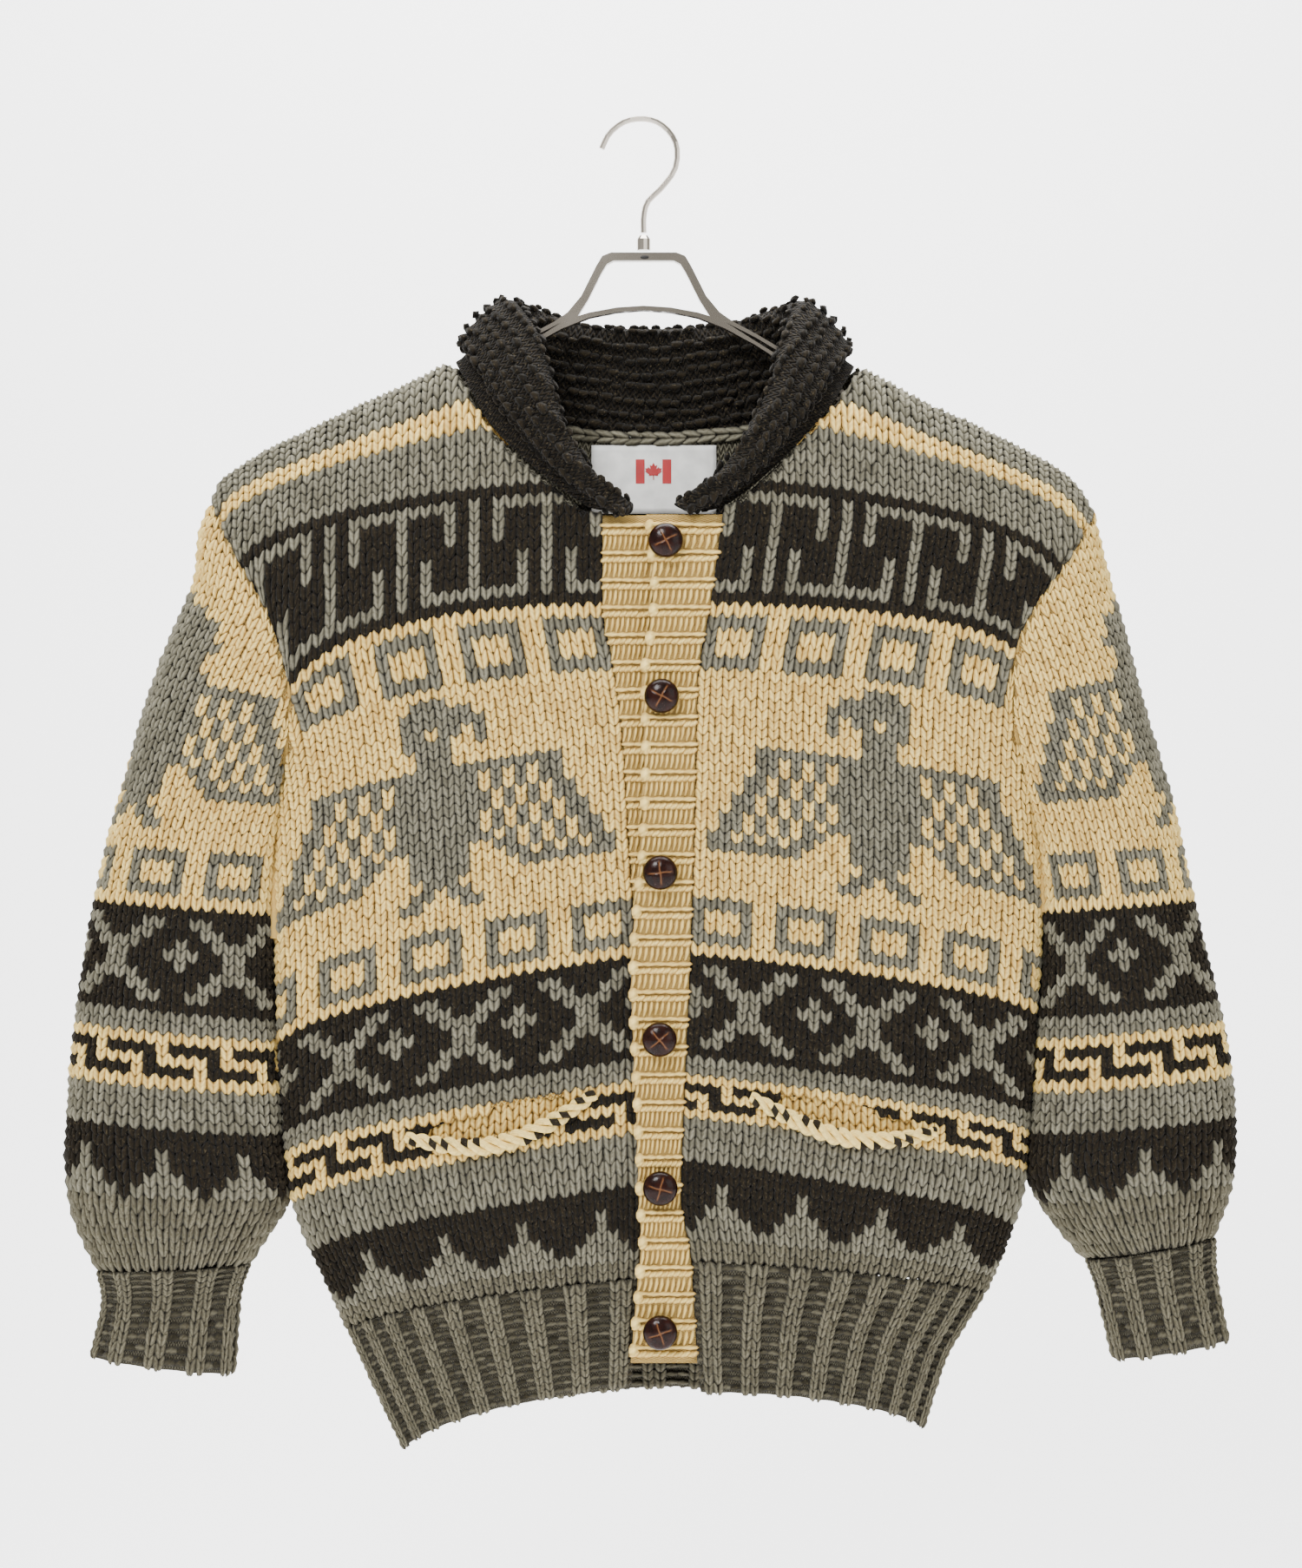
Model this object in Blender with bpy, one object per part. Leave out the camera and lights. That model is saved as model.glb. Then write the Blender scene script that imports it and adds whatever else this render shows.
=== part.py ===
"""Cowichan cardigan buttoned up on a plain clothes hanger, as closed solids.

Frame: X is the garment's width, seen from the front, Y its depth with the front
towards -Y, Z up. The origin is the inside of the hook's top, where a rail holds it.
"left" and "right" are the viewer's, so "left" lies towards -X. Tables are in
millimetres and the meshes in metres.

The knitted panels are walls of one thickness. A place on a panel is a knitted row,
counted down from the shoulder, and a share of the way across it, so that every
piece that meets or lies on a panel is worked out from the same functions.
"""
import math

import bmesh
import bpy
from mathutils import Vector

MM = 0.001

# ---------------------------------------------------------------- cloth sizes
WALL = 5.0              # bulky hand-spun knit
GAP = 0.4               # between two sewn pieces
ARMHOLE_GAP = 0.9       # between a sleeve's first ring and the body
COLLAR_WALL = 7.0       # garter stitch is thicker
LAP = 8.0               # the buttoned band stands in front of the one under it
LAP_FADE = 75.0         # over which the right front comes forward to the lap
BAND_WIDTH = 38.0
BAND_GAP = 0.8          # a band's ribs and the front's rows don't share their points
RIB_HEIGHT = 2.6        # of the 2 x 2 ribs of hem and cuffs
BAND_RIB_HEIGHT = 1.8
BAND_TOP = -293.5
BAND_BOTTOM = -908.0
GARTER_HEIGHT = 1.6
SHOULDER_ROWS = 7.0     # rows that still follow the shoulder's slope
BACK_SAG = 10.0         # the rows of the back's middle lie lower than the fronts'
MID_X = 13.0            # the body's middle hangs a little to the right of the hook
SHOULDER_ROUND = 72.0   # height over which the front falls away below the shoulder
CROSS_POWER = 2.7       # roundness of the level section: 2 is an ellipse
COLUMN_BEND = 1.4       # radians of a sine: columns crowd towards the side
FOLD_ENDS = 0.35        # share of a fold's length over which it fades out
BAND_RIB_PITCH = 20.0
BAND_COLUMNS = 2
SLEEVE_BULGE = 0.85     # power of the sleeve's section: under 1 is squarer
MOUTH_DEPTH = (-90.0, -15.0)    # y between which a pocket's mouth is cut

# Knitted rows that carry the panels' mesh, the armhole's first
ARMHOLE_ROWS = (0.0, 1.0, 3.5, 8.0, 12.5, 17.5, 23.0, 28.0, 33.0, 38.0)
BODY_ROWS = (38.06, 44.0, 51.0, 58.0, 63.0, 68.0, 72.0, 76.0, 80.5, 85.0, 89.5)
PANEL_ROWS = ARMHOLE_ROWS + BODY_ROWS
# A panel's solid is in two stretches, above and below the underarm
PANEL_PARTS = {"upper": (0, len(ARMHOLE_ROWS)), "lower": (len(ARMHOLE_ROWS), len(PANEL_ROWS))}
HEM_ROWS = (89.65, 97.0, 104.0)
NECK_COLUMNS = 5        # from the middle to the neck's corner
SHOULDER_COLUMNS = 8    # from there to the side

# Height of the knitted rows: at the middle of the front, at the side, and how the
# row falls between them (power of the share across)
ROWS = {
    "left": [
        # row, z_middle, z_side, power
        (0.0, -160.0, -281.0, 1.30),
        (5.5, -222.0, -300.0, 1.30),
        (11.5, -268.0, -326.0, 1.60),
        (24.0, -358.0, -421.0, 2.00),
        (30.0, -405.0, -462.0, 1.50),
        (38.0, -462.0, -522.0, 1.20),
        (58.0, -613.0, -679.0, 1.10),
        (68.0, -687.0, -745.0, 1.00),
        (76.0, -744.0, -799.0, 1.00),
        (80.5, -778.0, -831.0, 1.05),
        (89.5, -846.0, -889.0, 1.20),
        (104.0, -926.0, -978.0, 1.35),
    ],
    "right": [
        (0.0, -160.0, -290.0, 1.30),
        (5.5, -222.0, -306.0, 1.30),
        (11.5, -268.0, -330.0, 1.60),
        (24.0, -358.0, -392.0, 1.90),
        (30.0, -405.0, -438.0, 1.50),
        (38.0, -462.0, -504.0, 1.20),
        (58.0, -611.0, -658.0, 1.10),
        (68.0, -684.0, -730.0, 1.00),
        (76.0, -731.0, -777.0, 1.00),
        (80.5, -759.0, -812.0, 1.05),
        (89.5, -832.0, -862.0, 1.20),
        (104.0, -929.0, -962.0, 1.60),
    ],
}

# Crest of the shoulder: height at x, from the neck outwards
SHOULDER = {
    "left": [(-30.0, -152.0), (-90.0, -160.0), (-138.0, -177.0), (-168.0, -192.0),
             (-210.0, -211.0), (-242.0, -226.5), (-274.0, -241.0), (-295.0, -253.5),
             (-312.0, -266.0), (-318.0, -281.0)],
    "right": [(50.0, -152.0), (110.0, -161.0), (158.0, -181.0), (210.0, -209.0),
              (246.0, -225.0), (282.0, -243.0), (309.0, -258.0), (323.0, -272.0),
              (334.0, -290.0)],
}

# Neckline of each front, from the bands up to the shoulder: height at x
FRONT_NECK = {
    "left": [(-20.0, -292.0), (-40.0, -291.0), (-66.0, -272.0), (-92.0, -250.0),
             (-114.0, -226.0), (-129.0, -198.0), (-139.0, -178.0)],
    "right": [(48.0, -292.0), (64.0, -287.0), (92.0, -265.0), (118.0, -239.0),
              (140.0, -213.0), (152.0, -196.0), (158.0, -181.0)],
}
BACK_NECK = [(-139.0, -178.0), (-110.0, -205.0), (-75.0, -224.0), (8.0, -230.0),
             (90.0, -224.0), (128.0, -205.0), (158.0, -181.0)]

# Edge of each front beside the bands: x at height
FRONT_EDGE = {
    "left": [(-290.0, -29.5), (-358.0, -29.5), (-400.0, -22.0), (-450.0, -15.0),
             (-530.0, -10.0), (-610.0, -5.0), (-700.0, -3.0), (-800.0, -1.0),
             (-860.0, -3.0), (-930.0, -8.0)],
    "right": [(-290.0, 59.5), (-358.0, 50.0), (-412.0, 41.0), (-484.0, 39.0),
              (-612.0, 35.5), (-722.0, 30.5), (-785.0, 28.5), (-833.0, 36.0),
              (-880.0, 39.0), (-930.0, 42.0)],
}

# Width of the buttoned band, at height: the fronts pull apart between some buttons
OVER_BAND_WIDTH = [(-293.0, 56.0), (-358.0, 42.5), (-412.0, 40.0), (-484.0, 37.5),
                   (-540.0, 39.0), (-612.0, 43.0), (-722.0, 35.0), (-790.0, 31.0),
                   (-845.0, 40.0), (-908.0, 49.0)]

# Side edge of the cloth (armhole, then side seam) and the reach of the level
# section that it lies on, both x at height
SIDE_EDGE = {
    "left": [(-281.0, -318.0), (-320.0, -299.0), (-342.0, -285.5), (-364.0, -273.0),
             (-387.0, -265.0), (-428.0, -257.5), (-470.0, -260.5), (-522.0, -271.0),
             (-582.0, -270.0), (-680.0, -267.5), (-774.0, -260.5), (-806.0, -253.0),
             (-846.0, -236.0), (-876.0, -223.0), (-916.0, -205.0), (-978.0, -176.0)],
    "right": [(-290.0, 334.0), (-313.0, 320.0), (-329.0, 309.0), (-346.0, 295.0),
              (-366.0, 282.5), (-390.0, 273.5), (-430.0, 270.0), (-470.0, 277.0),
              (-504.0, 290.0), (-582.0, 294.0), (-680.0, 288.0), (-774.0, 281.5),
              (-832.0, 266.0), (-857.0, 255.0), (-880.0, 241.0), (-907.0, 225.0),
              (-962.0, 207.0)],
}
SECTION_REACH = {
    "left": [(-281.0, -319.0), (-340.0, -326.0), (-390.0, -312.0), (-428.0, -292.0),
             (-470.0, -279.0), (-522.0, -271.0)],
    "right": [(-290.0, 335.0), (-340.0, 341.0), (-380.0, 326.0), (-420.0, 304.0),
              (-460.0, 294.0), (-504.0, 290.0)],
}

# Depth of the front and of the back from the middle plane, at height
DEPTH = {
    "front": [(-150.0, 38.0), (-290.0, 42.0), (-420.0, 44.0), (-620.0, 43.0),
              (-760.0, 47.0), (-820.0, 48.0), (-870.0, 40.0), (-925.0, 34.0),
              (-980.0, 33.0)],
    "back": [(-150.0, 30.0), (-300.0, 32.0), (-500.0, 34.0), (-700.0, 35.0),
             (-820.0, 40.0), (-880.0, 32.0), (-980.0, 28.0)],
}

# Soft folds: a trough (-) or swell (+) runs from one point to the other
FOLDS = {
    "front": [
        # x1, z1, x2, z2, half width, height
        (-250.0, -520.0, -215.0, -800.0, 30.0, -5.0),
        (-205.0, -560.0, -165.0, -830.0, 32.0, 4.0),
        (262.0, -520.0, 228.0, -790.0, 30.0, -5.0),
        (190.0, -600.0, 165.0, -820.0, 32.0, 4.0),
        (-150.0, -812.0, -40.0, -775.0, 26.0, 4.0),
        (205.0, -800.0, 90.0, -780.0, 26.0, 4.0),
        (-215.0, -300.0, -185.0, -430.0, 30.0, -3.0),
        (240.0, -300.0, 215.0, -420.0, 30.0, -3.0),
    ],
    "back": [
        (-150.0, -330.0, -185.0, -780.0, 34.0, -6.0),
        (40.0, -420.0, 25.0, -830.0, 32.0, -5.0),
        (175.0, -330.0, 205.0, -780.0, 34.0, -6.0),
        (-60.0, -300.0, -80.0, -700.0, 34.0, 5.0),
        (110.0, -360.0, 120.0, -760.0, 34.0, 5.0),
    ],
}

# Sleeves: the ring's outer and inner end, its half depth, and where it lies in y.
# The first ring is the armhole itself.
SLEEVE = {
    "left": [
        # x_outer, z_outer, x_inner, z_inner, half_depth, y
        (-318.0, -281.0, -271.0, -522.0, 27.0, 0.0),
        (-326.0, -302.0, -273.0, -533.0, 31.0, 1.0),
        (-330.0, -338.0, -273.3, -541.0, 34.0, 2.0),
        (-344.0, -372.0, -273.0, -550.0, 36.0, 2.0),
        (-357.0, -405.0, -272.8, -560.0, 37.0, 3.0),
        (-368.0, -438.0, -272.5, -571.0, 38.0, 3.0),
        (-378.0, -475.0, -272.3, -585.0, 38.0, 3.0),
        (-391.0, -520.0, -272.0, -602.0, 38.0, 3.0),
        (-402.0, -568.0, -271.5, -624.0, 38.0, 3.0),
        (-411.0, -618.0, -270.7, -652.0, 38.0, 3.0),
        (-418.0, -670.0, -269.5, -686.0, 39.0, 3.0),
        (-422.5, -722.0, -267.5, -722.0, 40.0, 2.0),
        (-423.5, -762.0, -264.5, -757.0, 42.0, 2.0),
        (-420.0, -800.0, -260.5, -791.0, 41.0, 2.0),
        (-410.0, -826.0, -277.0, -820.0, 34.0, 2.0),
        (-400.0, -846.0, -291.0, -841.0, 27.0, 2.0),
    ],
    "right": [
        (334.0, -290.0, 290.0, -504.0, 27.0, 0.0),
        (337.0, -308.0, 292.5, -517.0, 31.0, 1.0),
        (344.0, -337.0, 293.6, -526.0, 34.0, 2.0),
        (353.0, -368.0, 294.5, -536.0, 36.0, 2.0),
        (361.0, -398.0, 295.0, -547.0, 37.0, 3.0),
        (369.0, -430.0, 295.3, -559.0, 38.0, 3.0),
        (378.5, -462.0, 295.6, -573.0, 38.0, 3.0),
        (390.0, -500.0, 295.6, -589.0, 38.0, 3.0),
        (400.0, -545.0, 295.2, -609.0, 38.0, 3.0),
        (411.0, -595.0, 293.8, -636.0, 38.0, 3.0),
        (424.0, -648.0, 291.5, -668.0, 39.0, 3.0),
        (433.0, -698.0, 288.8, -702.0, 40.0, 2.0),
        (436.0, -738.0, 286.5, -737.0, 42.0, 2.0),
        (434.0, -778.0, 284.5, -776.0, 41.0, 2.0),
        (426.0, -806.0, 305.0, -812.0, 34.0, 2.0),
        (420.0, -822.0, 329.0, -838.0, 27.0, 2.0),
    ],
}
SLEEVE_FADE = 6         # rings over which the armhole's shape gives way to the tube's
# A sleeve's solid is in three stretches, each from one ring to another
SLEEVE_PARTS = {"upper": (0, 5), "elbow": (5, 10), "lower": (10, 15)}
CUFF = {
    "left": [
        (-399.7, -846.6, -291.4, -841.6, 26.8, 2.0),
        (-396.0, -872.0, -299.5, -868.0, 22.0, 2.0),
        (-404.0, -910.0, -304.0, -922.0, 22.0, 2.0),
    ],
    "right": [
        (419.9, -822.6, 329.6, -838.5, 26.8, 2.0),
        (421.0, -852.0, 339.0, -865.0, 22.0, 2.0),
        (429.0, -898.0, 350.0, -911.0, 22.0, 2.0),
    ],
}
CUFF_RIBS = 10
HEM_RIBS = {"left": 9, "right": 9, "back": 16}
POINTS_A_RIB = 4

# Collar: where its fold lies above each point of the neckline, and how far its
# fall comes back towards the seam (share of the stand)
COLLAR = [
    # seam x, seam z, fold x, fold y, fold z, fall share; "front" or "back" seam
    ("front", -23.0, -291.8, -8.0, -47.0, -288.0, 0.55),
    ("front", -40.0, -289.6, -20.6, -49.0, -279.0, 0.60),
    ("front", -66.0, -272.0, -42.0, -49.0, -257.0, 0.66),
    ("front", -92.0, -250.0, -59.0, -47.0, -227.0, 0.70),
    ("front", -114.0, -226.0, -68.0, -39.0, -194.0, 0.76),
    ("front", -129.0, -198.0, -77.0, -23.0, -164.0, 0.82),
    ("front", -139.0, -178.0, -92.0, 4.0, -138.0, 0.84),
    ("back", -110.0, -205.0, -74.0, 27.0, -139.0, 0.82),
    ("back", -60.0, -226.0, -44.0, 34.0, -147.0, 0.82),
    ("back", 8.0, -230.0, 8.0, 36.0, -150.0, 0.78),
    ("back", 75.0, -226.0, 60.0, 34.0, -146.0, 0.82),
    ("back", 128.0, -205.0, 92.0, 27.0, -139.0, 0.82),
    ("front", 158.0, -181.0, 110.0, 4.0, -139.0, 0.84),
    ("front", 148.8, -198.4, 102.0, -23.0, -169.0, 0.82),
    ("front", 140.0, -213.0, 94.0, -38.0, -202.0, 0.76),
    ("front", 118.0, -239.0, 78.0, -47.0, -233.0, 0.70),
    ("front", 92.0, -265.0, 62.0, -49.0, -259.0, 0.66),
    ("front", 64.0, -287.0, 40.0, -49.0, -276.0, 0.60),
    ("front", 48.0, -292.0, 26.0, -47.0, -287.0, 0.55),
]
COLLAR_FINE = (5, 13)   # between these rows of the table it has twice the stations
COLLAR_POINTS = 18      # along its stand and fall, a garter ridge on every other one
COLLAR_GAP = 2.4        # its first stitches curve away from the fronts' edge
FALL_GAP = 2.0          # between the fall's edge and the stand or the front below it
FOLD_RADIUS = (4.5, 8.5)        # at the front ends, and from the sides round the back

# Pocket mouths: a crescent from one end to the other, its sag below the chord and
# the sag of its upper edge
POCKETS = {
    # x1, z1, x2, z2, lower sag, upper sag
    "left": (-171.0, -746.0, -34.0, -714.0, 21.0, 2.0),
    "right": (78.0, -716.0, 213.0, -743.0, 17.0, 1.0),
}
MOUTH_OVERLAP = 4.0     # the mouth is cut this far above the crescent's upper edge
LIP_RADIUS = 4.6
LIP_FLAT = 0.8          # depth of the lip's section against its height
LINING_WALL = 3.0
LINING_RISE = 10.0      # above the mouth's chord
LINING_DROP = 30.0      # below it
LINING_CLEAR = 1.6      # behind the front

BUTTON_HEIGHTS = (-313.0, -425.0, -552.0, -672.0, -778.5, -883.5)
BUTTON_X = (17.0, 14.0, 13.0, 12.5, 13.0, 13.0)
BUTTON_DIAMETER = 25.0
BUTTON_THICKNESS = 14.0

LABEL = (-38.0, 55.0, -287.0, -236.0)       # x1, x2, z1, z2
LABEL_WALL = 0.8
LABEL_CLEAR = 1.6       # before the back's plain inside

# ---------------------------------------------------------------- hanger sizes
WIRE = 4.3
HOOK_STATIONS = 28
HOOK_POINTS = [
    # x, z of the wire's middle, from the tip over the crown to the ferrule
    (-30.0, -20.0), (-24.5, -9.0), (-14.0, -0.5), (-2.0, 2.15), (10.0, 0.2),
    (20.0, -7.5), (25.5, -19.0), (24.0, -35.0), (14.0, -49.0), (4.0, -59.0),
    (1.0, -70.0), (1.0, -82.0),
]
FERRULE = (1.0, -95.0, 11.0, 5.0)           # x, lowest z, height, radius
FRAME_DEPTH = 8.0
FRAME_TOP = -97.0


# ---------------------------------------------------------------- small maths
def curve_at(table, where, key=0, value=1):
    """Smooth value of a short table at a place, held level past its ends."""
    keys = [row[key] for row in table]
    values = [row[value] for row in table]
    if keys[0] > keys[-1]:
        keys.reverse()
        values.reverse()
    if where <= keys[0]:
        return values[0]
    if where >= keys[-1]:
        return values[-1]
    last = len(keys) - 1
    i = max(k for k in range(last) if keys[k] <= where)

    def slope(k):
        if k == 0 or k == last:
            other = 1 if k == 0 else last - 1
            return (values[other] - values[k]) / (keys[other] - keys[k])
        before = (values[k] - values[k - 1]) / (keys[k] - keys[k - 1])
        after = (values[k + 1] - values[k]) / (keys[k + 1] - keys[k])
        if before * after <= 0.0:
            return 0.0
        return 2.0 * before * after / (before + after)

    span = keys[i + 1] - keys[i]
    t = (where - keys[i]) / span
    rise = values[i + 1] - values[i]
    a, b = slope(i) * span, slope(i + 1) * span
    return values[i] + t * (a + t * ((3.0 * rise - 2.0 * a - b) + t * (a + b - 2.0 * rise)))


def rounded(share, power):
    """Height of a rounded section at a share of its half width, 1 in the middle."""
    share = min(max(abs(share), 0.0), 1.0)
    return (1.0 - share ** power) ** (1.0 / power)


def ease(t):
    """Smooth step from 0 to 1."""
    t = min(max(t, 0.0), 1.0)
    return t * t * (3.0 - 2.0 * t)


def spline(points, places):
    """Points of a smooth curve through the given ones; place 1.5 is half way to the third."""
    rows = [Vector(p) for p in points]
    result = []
    for place in places:
        i = min(int(place), len(rows) - 2)
        t = place - i
        p1, p2 = rows[i], rows[i + 1]
        p0 = rows[i - 1] if i > 0 else p1 * 2.0 - p2
        p3 = rows[i + 2] if i + 2 < len(rows) else p2 * 2.0 - p1
        result.append(0.5 * (2.0 * p1 + (p2 - p0) * t
                             + (2.0 * p0 - 5.0 * p1 + 4.0 * p2 - p3) * t ** 2
                             + (3.0 * p1 - p0 - 3.0 * p2 + p3) * t ** 3))
    return result


# ---------------------------------------------------------------- cloth surface
def fold_height(face, x, z):
    """How far the soft folds lift the cloth at a place."""
    total = 0.0
    for x1, z1, x2, z2, width, height in FOLDS[face]:
        along = Vector((x2 - x1, z2 - z1))
        offset = Vector((x - x1, z - z1))
        t = offset.dot(along) / along.length_squared
        away = (offset - along * t).length / width
        ends = ease(t / FOLD_ENDS) * ease((1.0 - t) / FOLD_ENDS)
        total += height * ends * math.exp(-away * away)
    return total


def cloth_y(face, side, x, z):
    """Depth of the outside of the body at x and z, on its front or its back."""
    reach_table = SECTION_REACH[side]
    reach = curve_at(SIDE_EDGE[side] if z < reach_table[-1][0] else reach_table, z)
    across = rounded((x - MID_X) / (reach - MID_X), CROSS_POWER)
    drop = curve_at(SHOULDER[side], x) - z
    fall = rounded(1.0 - drop / SHOULDER_ROUND, 2.0) if drop < SHOULDER_ROUND else 1.0
    depth = curve_at(DEPTH[face], z) + fold_height(face, x, z)
    y = depth * across * fall + GAP / 2
    return -y if face == "front" else y


def cloth_normal(face, side, x, z):
    """Outward direction of the body's cloth, turned so that the wall stays on its face."""
    step = 1.0
    edge = curve_at(SIDE_EDGE[side], z)
    if z <= SECTION_REACH[side][-1][0] and abs(x - edge) < 0.1:
        slope = (curve_at(SIDE_EDGE[side], z + step) - curve_at(SIDE_EDGE[side], z - step)) / 2
        return (Vector((1.0, 0.0, -slope)) * math.copysign(1.0, x - MID_X)).normalized()
    inward = math.copysign(step, MID_X - x)
    dx = (cloth_y(face, side, x + inward, z) - cloth_y(face, side, x, z)) / inward
    dz = (cloth_y(face, side, x, z - step) - cloth_y(face, side, x, z)) / -step
    normal = Vector((dx, -1.0, dz)) if face == "front" else Vector((-dx, 1.0, -dz))
    normal.normalize()
    room = (abs(cloth_y(face, side, x, z)) - GAP / 2) / WALL
    if abs(normal.y) > room:
        level = Vector((normal.x, 0.0, normal.z)).normalized()
        normal = level * math.sqrt(1.0 - room * room)
        normal.y = -room if face == "front" else room
    return normal


def row_level(side, row, share, back):
    """x and z of a row as the table of rows has it, before it follows the shoulder."""
    z_side = curve_at(ROWS[side], row, 0, 2)
    z_middle = curve_at(ROWS[side], row, 0, 1)
    if back:
        z_middle = (curve_at(ROWS["left"], row) + curve_at(ROWS["right"], row)) / 2 - BACK_SAG
    x_side = curve_at(SIDE_EDGE[side], z_side)
    x_middle = MID_X if back else curve_at(FRONT_EDGE[side], z_middle)
    x = x_middle + (x_side - x_middle) * math.sin(COLUMN_BEND * share) / math.sin(COLUMN_BEND)
    return x, z_middle + (z_side - z_middle) * share ** curve_at(ROWS[side], row, 0, 3)


def row_place(side, row, share, back=False):
    """x and z of a knitted row of one half, 0 at its middle edge and 1 at its side."""
    x, z = row_level(side, row, share, back)
    top_x, top_z = row_level(side, 0.0, share, back)
    rise = curve_at(SHOULDER[side], top_x) - top_z
    return x, z + rise * (1.0 - ease(row / SHOULDER_ROWS))


def top_row(side, share, neck, back):
    """Row on which a column that starts at the neckline starts."""
    low, high = 0.0, 30.0
    for _ in range(30):
        middle = (low + high) / 2
        x, z = row_place(side, middle, share, back)
        if z > curve_at(neck, x):
            low = middle
        else:
            high = middle
    return high


def corner_share(side, back):
    """Share of the way across at which a column meets the corner of neck and shoulder."""
    target = abs(FRONT_NECK[side][-1][0])
    low, high = 0.0, 1.0
    for _ in range(30):
        middle = (low + high) / 2
        if abs(row_place(side, 0.0, middle, back)[0]) < target:
            low = middle
        else:
            high = middle
    return (low + high) / 2


def panel_shares(side, back):
    """Shares of a panel's columns, one of them on the corner of neck and shoulder."""
    corner = corner_share(side, back)
    inner = [corner * k / NECK_COLUMNS for k in range(NECK_COLUMNS)]
    step = (1.0 - corner) / SHOULDER_COLUMNS
    return inner + [corner + step * k for k in range(SHOULDER_COLUMNS)] + [1.0]


def half_grid(face, side, rows, shares, shift=None, starts=True):
    """Outside points and normals of half a panel, rows down and columns to the side."""
    back = face == "back"
    neck = BACK_NECK if back else FRONT_NECK[side]
    corner = corner_share(side, back)
    points, normals = [], []
    for row in rows:
        line, directions = [], []
        for share in shares:
            on_neck = starts and share < corner - 1e-6
            start = top_row(side, share, neck, back) if on_neck else rows[0]
            place = start + (row - rows[0]) * (rows[-1] - start) / (rows[-1] - rows[0])
            if share == 1.0:
                place = row
            x, z = row_place(side, place, share, back)
            normal = cloth_normal(face, side, x, z)
            point = Vector((x, cloth_y(face, side, x, z), z))
            if shift is not None:
                point = point + normal * shift(x, z)
            line.append(point)
            directions.append(normal)
        points.append(line)
        normals.append(directions)
    return points, normals


def lap_shift(x, z):
    """How far the right front comes forward to carry the buttoned band."""
    return LAP * ease(1.0 - (x - curve_at(FRONT_EDGE["right"], z)) / LAP_FADE)


# ---------------------------------------------------------------- mesh helpers
def material(name, colour, roughness, metallic=0.0):
    """Principled material of one colour."""
    made = bpy.data.materials.new(name)
    made.use_nodes = True
    shader = made.node_tree.nodes["Principled BSDF"]
    shader.inputs["Base Color"].default_value = (*colour, 1.0)
    shader.inputs["Roughness"].default_value = roughness
    shader.inputs["Metallic"].default_value = metallic
    return made


def solid(name, points, faces, finish, smooth=True):
    """One object of a closed mesh given in millimetres, its faces turned outwards."""
    mesh = bpy.data.meshes.new(name)
    mesh.from_pydata([Vector(p) * MM for p in points], [], faces)
    shell = bmesh.new()
    shell.from_mesh(mesh)
    bmesh.ops.recalc_face_normals(shell, faces=shell.faces)
    shell.to_mesh(mesh)
    shell.free()
    if smooth:
        mesh.shade_smooth()
        mesh.set_sharp_from_angle(angle=math.radians(50.0))
    mesh.materials.append(finish)
    made = bpy.data.objects.new(name, mesh)
    bpy.context.collection.objects.link(made)
    return made


def wall(name, outer, normals, finish, thickness=WALL, ring=False, relief=None):
    """Closed wall under a grid of outside points, plain inside; a ring joins its ends."""
    rows, columns = len(outer), len(outer[0])
    points = []
    for i in range(rows):
        for j in range(columns):
            lift = relief(i, j) if relief else 0.0
            points.append(outer[i][j] + normals[i][j] * lift)
    for i in range(rows):
        for j in range(columns):
            points.append(outer[i][j] - normals[i][j] * thickness)
    depth = rows * columns
    last = columns if ring else columns - 1
    faces = []

    def at(i, j, layer=0):
        return layer * depth + i * columns + j % columns

    for i in range(rows - 1):
        for j in range(last):
            faces.append((at(i, j), at(i, j + 1), at(i + 1, j + 1), at(i + 1, j)))
            faces.append((at(i, j, 1), at(i + 1, j, 1), at(i + 1, j + 1, 1), at(i, j + 1, 1)))
    for j in range(last):
        for i in (0, rows - 1):
            faces.append((at(i, j), at(i, j, 1), at(i, j + 1, 1), at(i, j + 1)))
    if not ring:
        for i in range(rows - 1):
            for j in (0, columns - 1):
                faces.append((at(i, j), at(i + 1, j), at(i + 1, j, 1), at(i, j, 1)))
    return solid(name, points, faces, finish)


def tube(name, path, radii, finish, sides=8, flat=1.0):
    """Closed tube along a path; flat squeezes it towards the cloth it lies on."""
    points, faces = [], []
    for k, centre in enumerate(path):
        ahead = path[min(k + 1, len(path) - 1)]
        behind = path[max(k - 1, 0)]
        along = (ahead - behind).normalized()
        out = Vector((0.0, -1.0, 0.0))
        out = (out - along * out.dot(along)).normalized()
        beside = along.cross(out)
        for s in range(sides):
            turn = 2.0 * math.pi * s / sides
            points.append(centre + (out * math.cos(turn) * flat + beside * math.sin(turn)) * radii[k])
    for k in range(len(path) - 1):
        for s in range(sides):
            n = (s + 1) % sides
            faces.append((k * sides + s, k * sides + n, (k + 1) * sides + n, (k + 1) * sides + s))
    faces.append(tuple(range(sides)))
    faces.append(tuple((len(path) - 1) * sides + s for s in range(sides)))
    return solid(name, points, faces, finish)


# ---------------------------------------------------------------- cloth pieces
def rib_relief(height, points_a_rib=POINTS_A_RIB):
    """Raised and sunk pairs of points along a row, for upright 2 x 2 ribs."""
    def lift(_, j):
        return height if j % points_a_rib in (1, 2) else 0.0
    return lift


def rib_shares(ribs):
    """Even shares of the columns of a ribbed edge."""
    columns = round(ribs * POINTS_A_RIB)
    return [k / columns for k in range(columns + 1)]


def build_panel(name, outer, normals, finish):
    """The stretches of a panel, by their names."""
    return {part: wall(name + "_" + part, outer[first:last], normals[first:last], finish)
            for part, (first, last) in PANEL_PARTS.items()}


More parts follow.
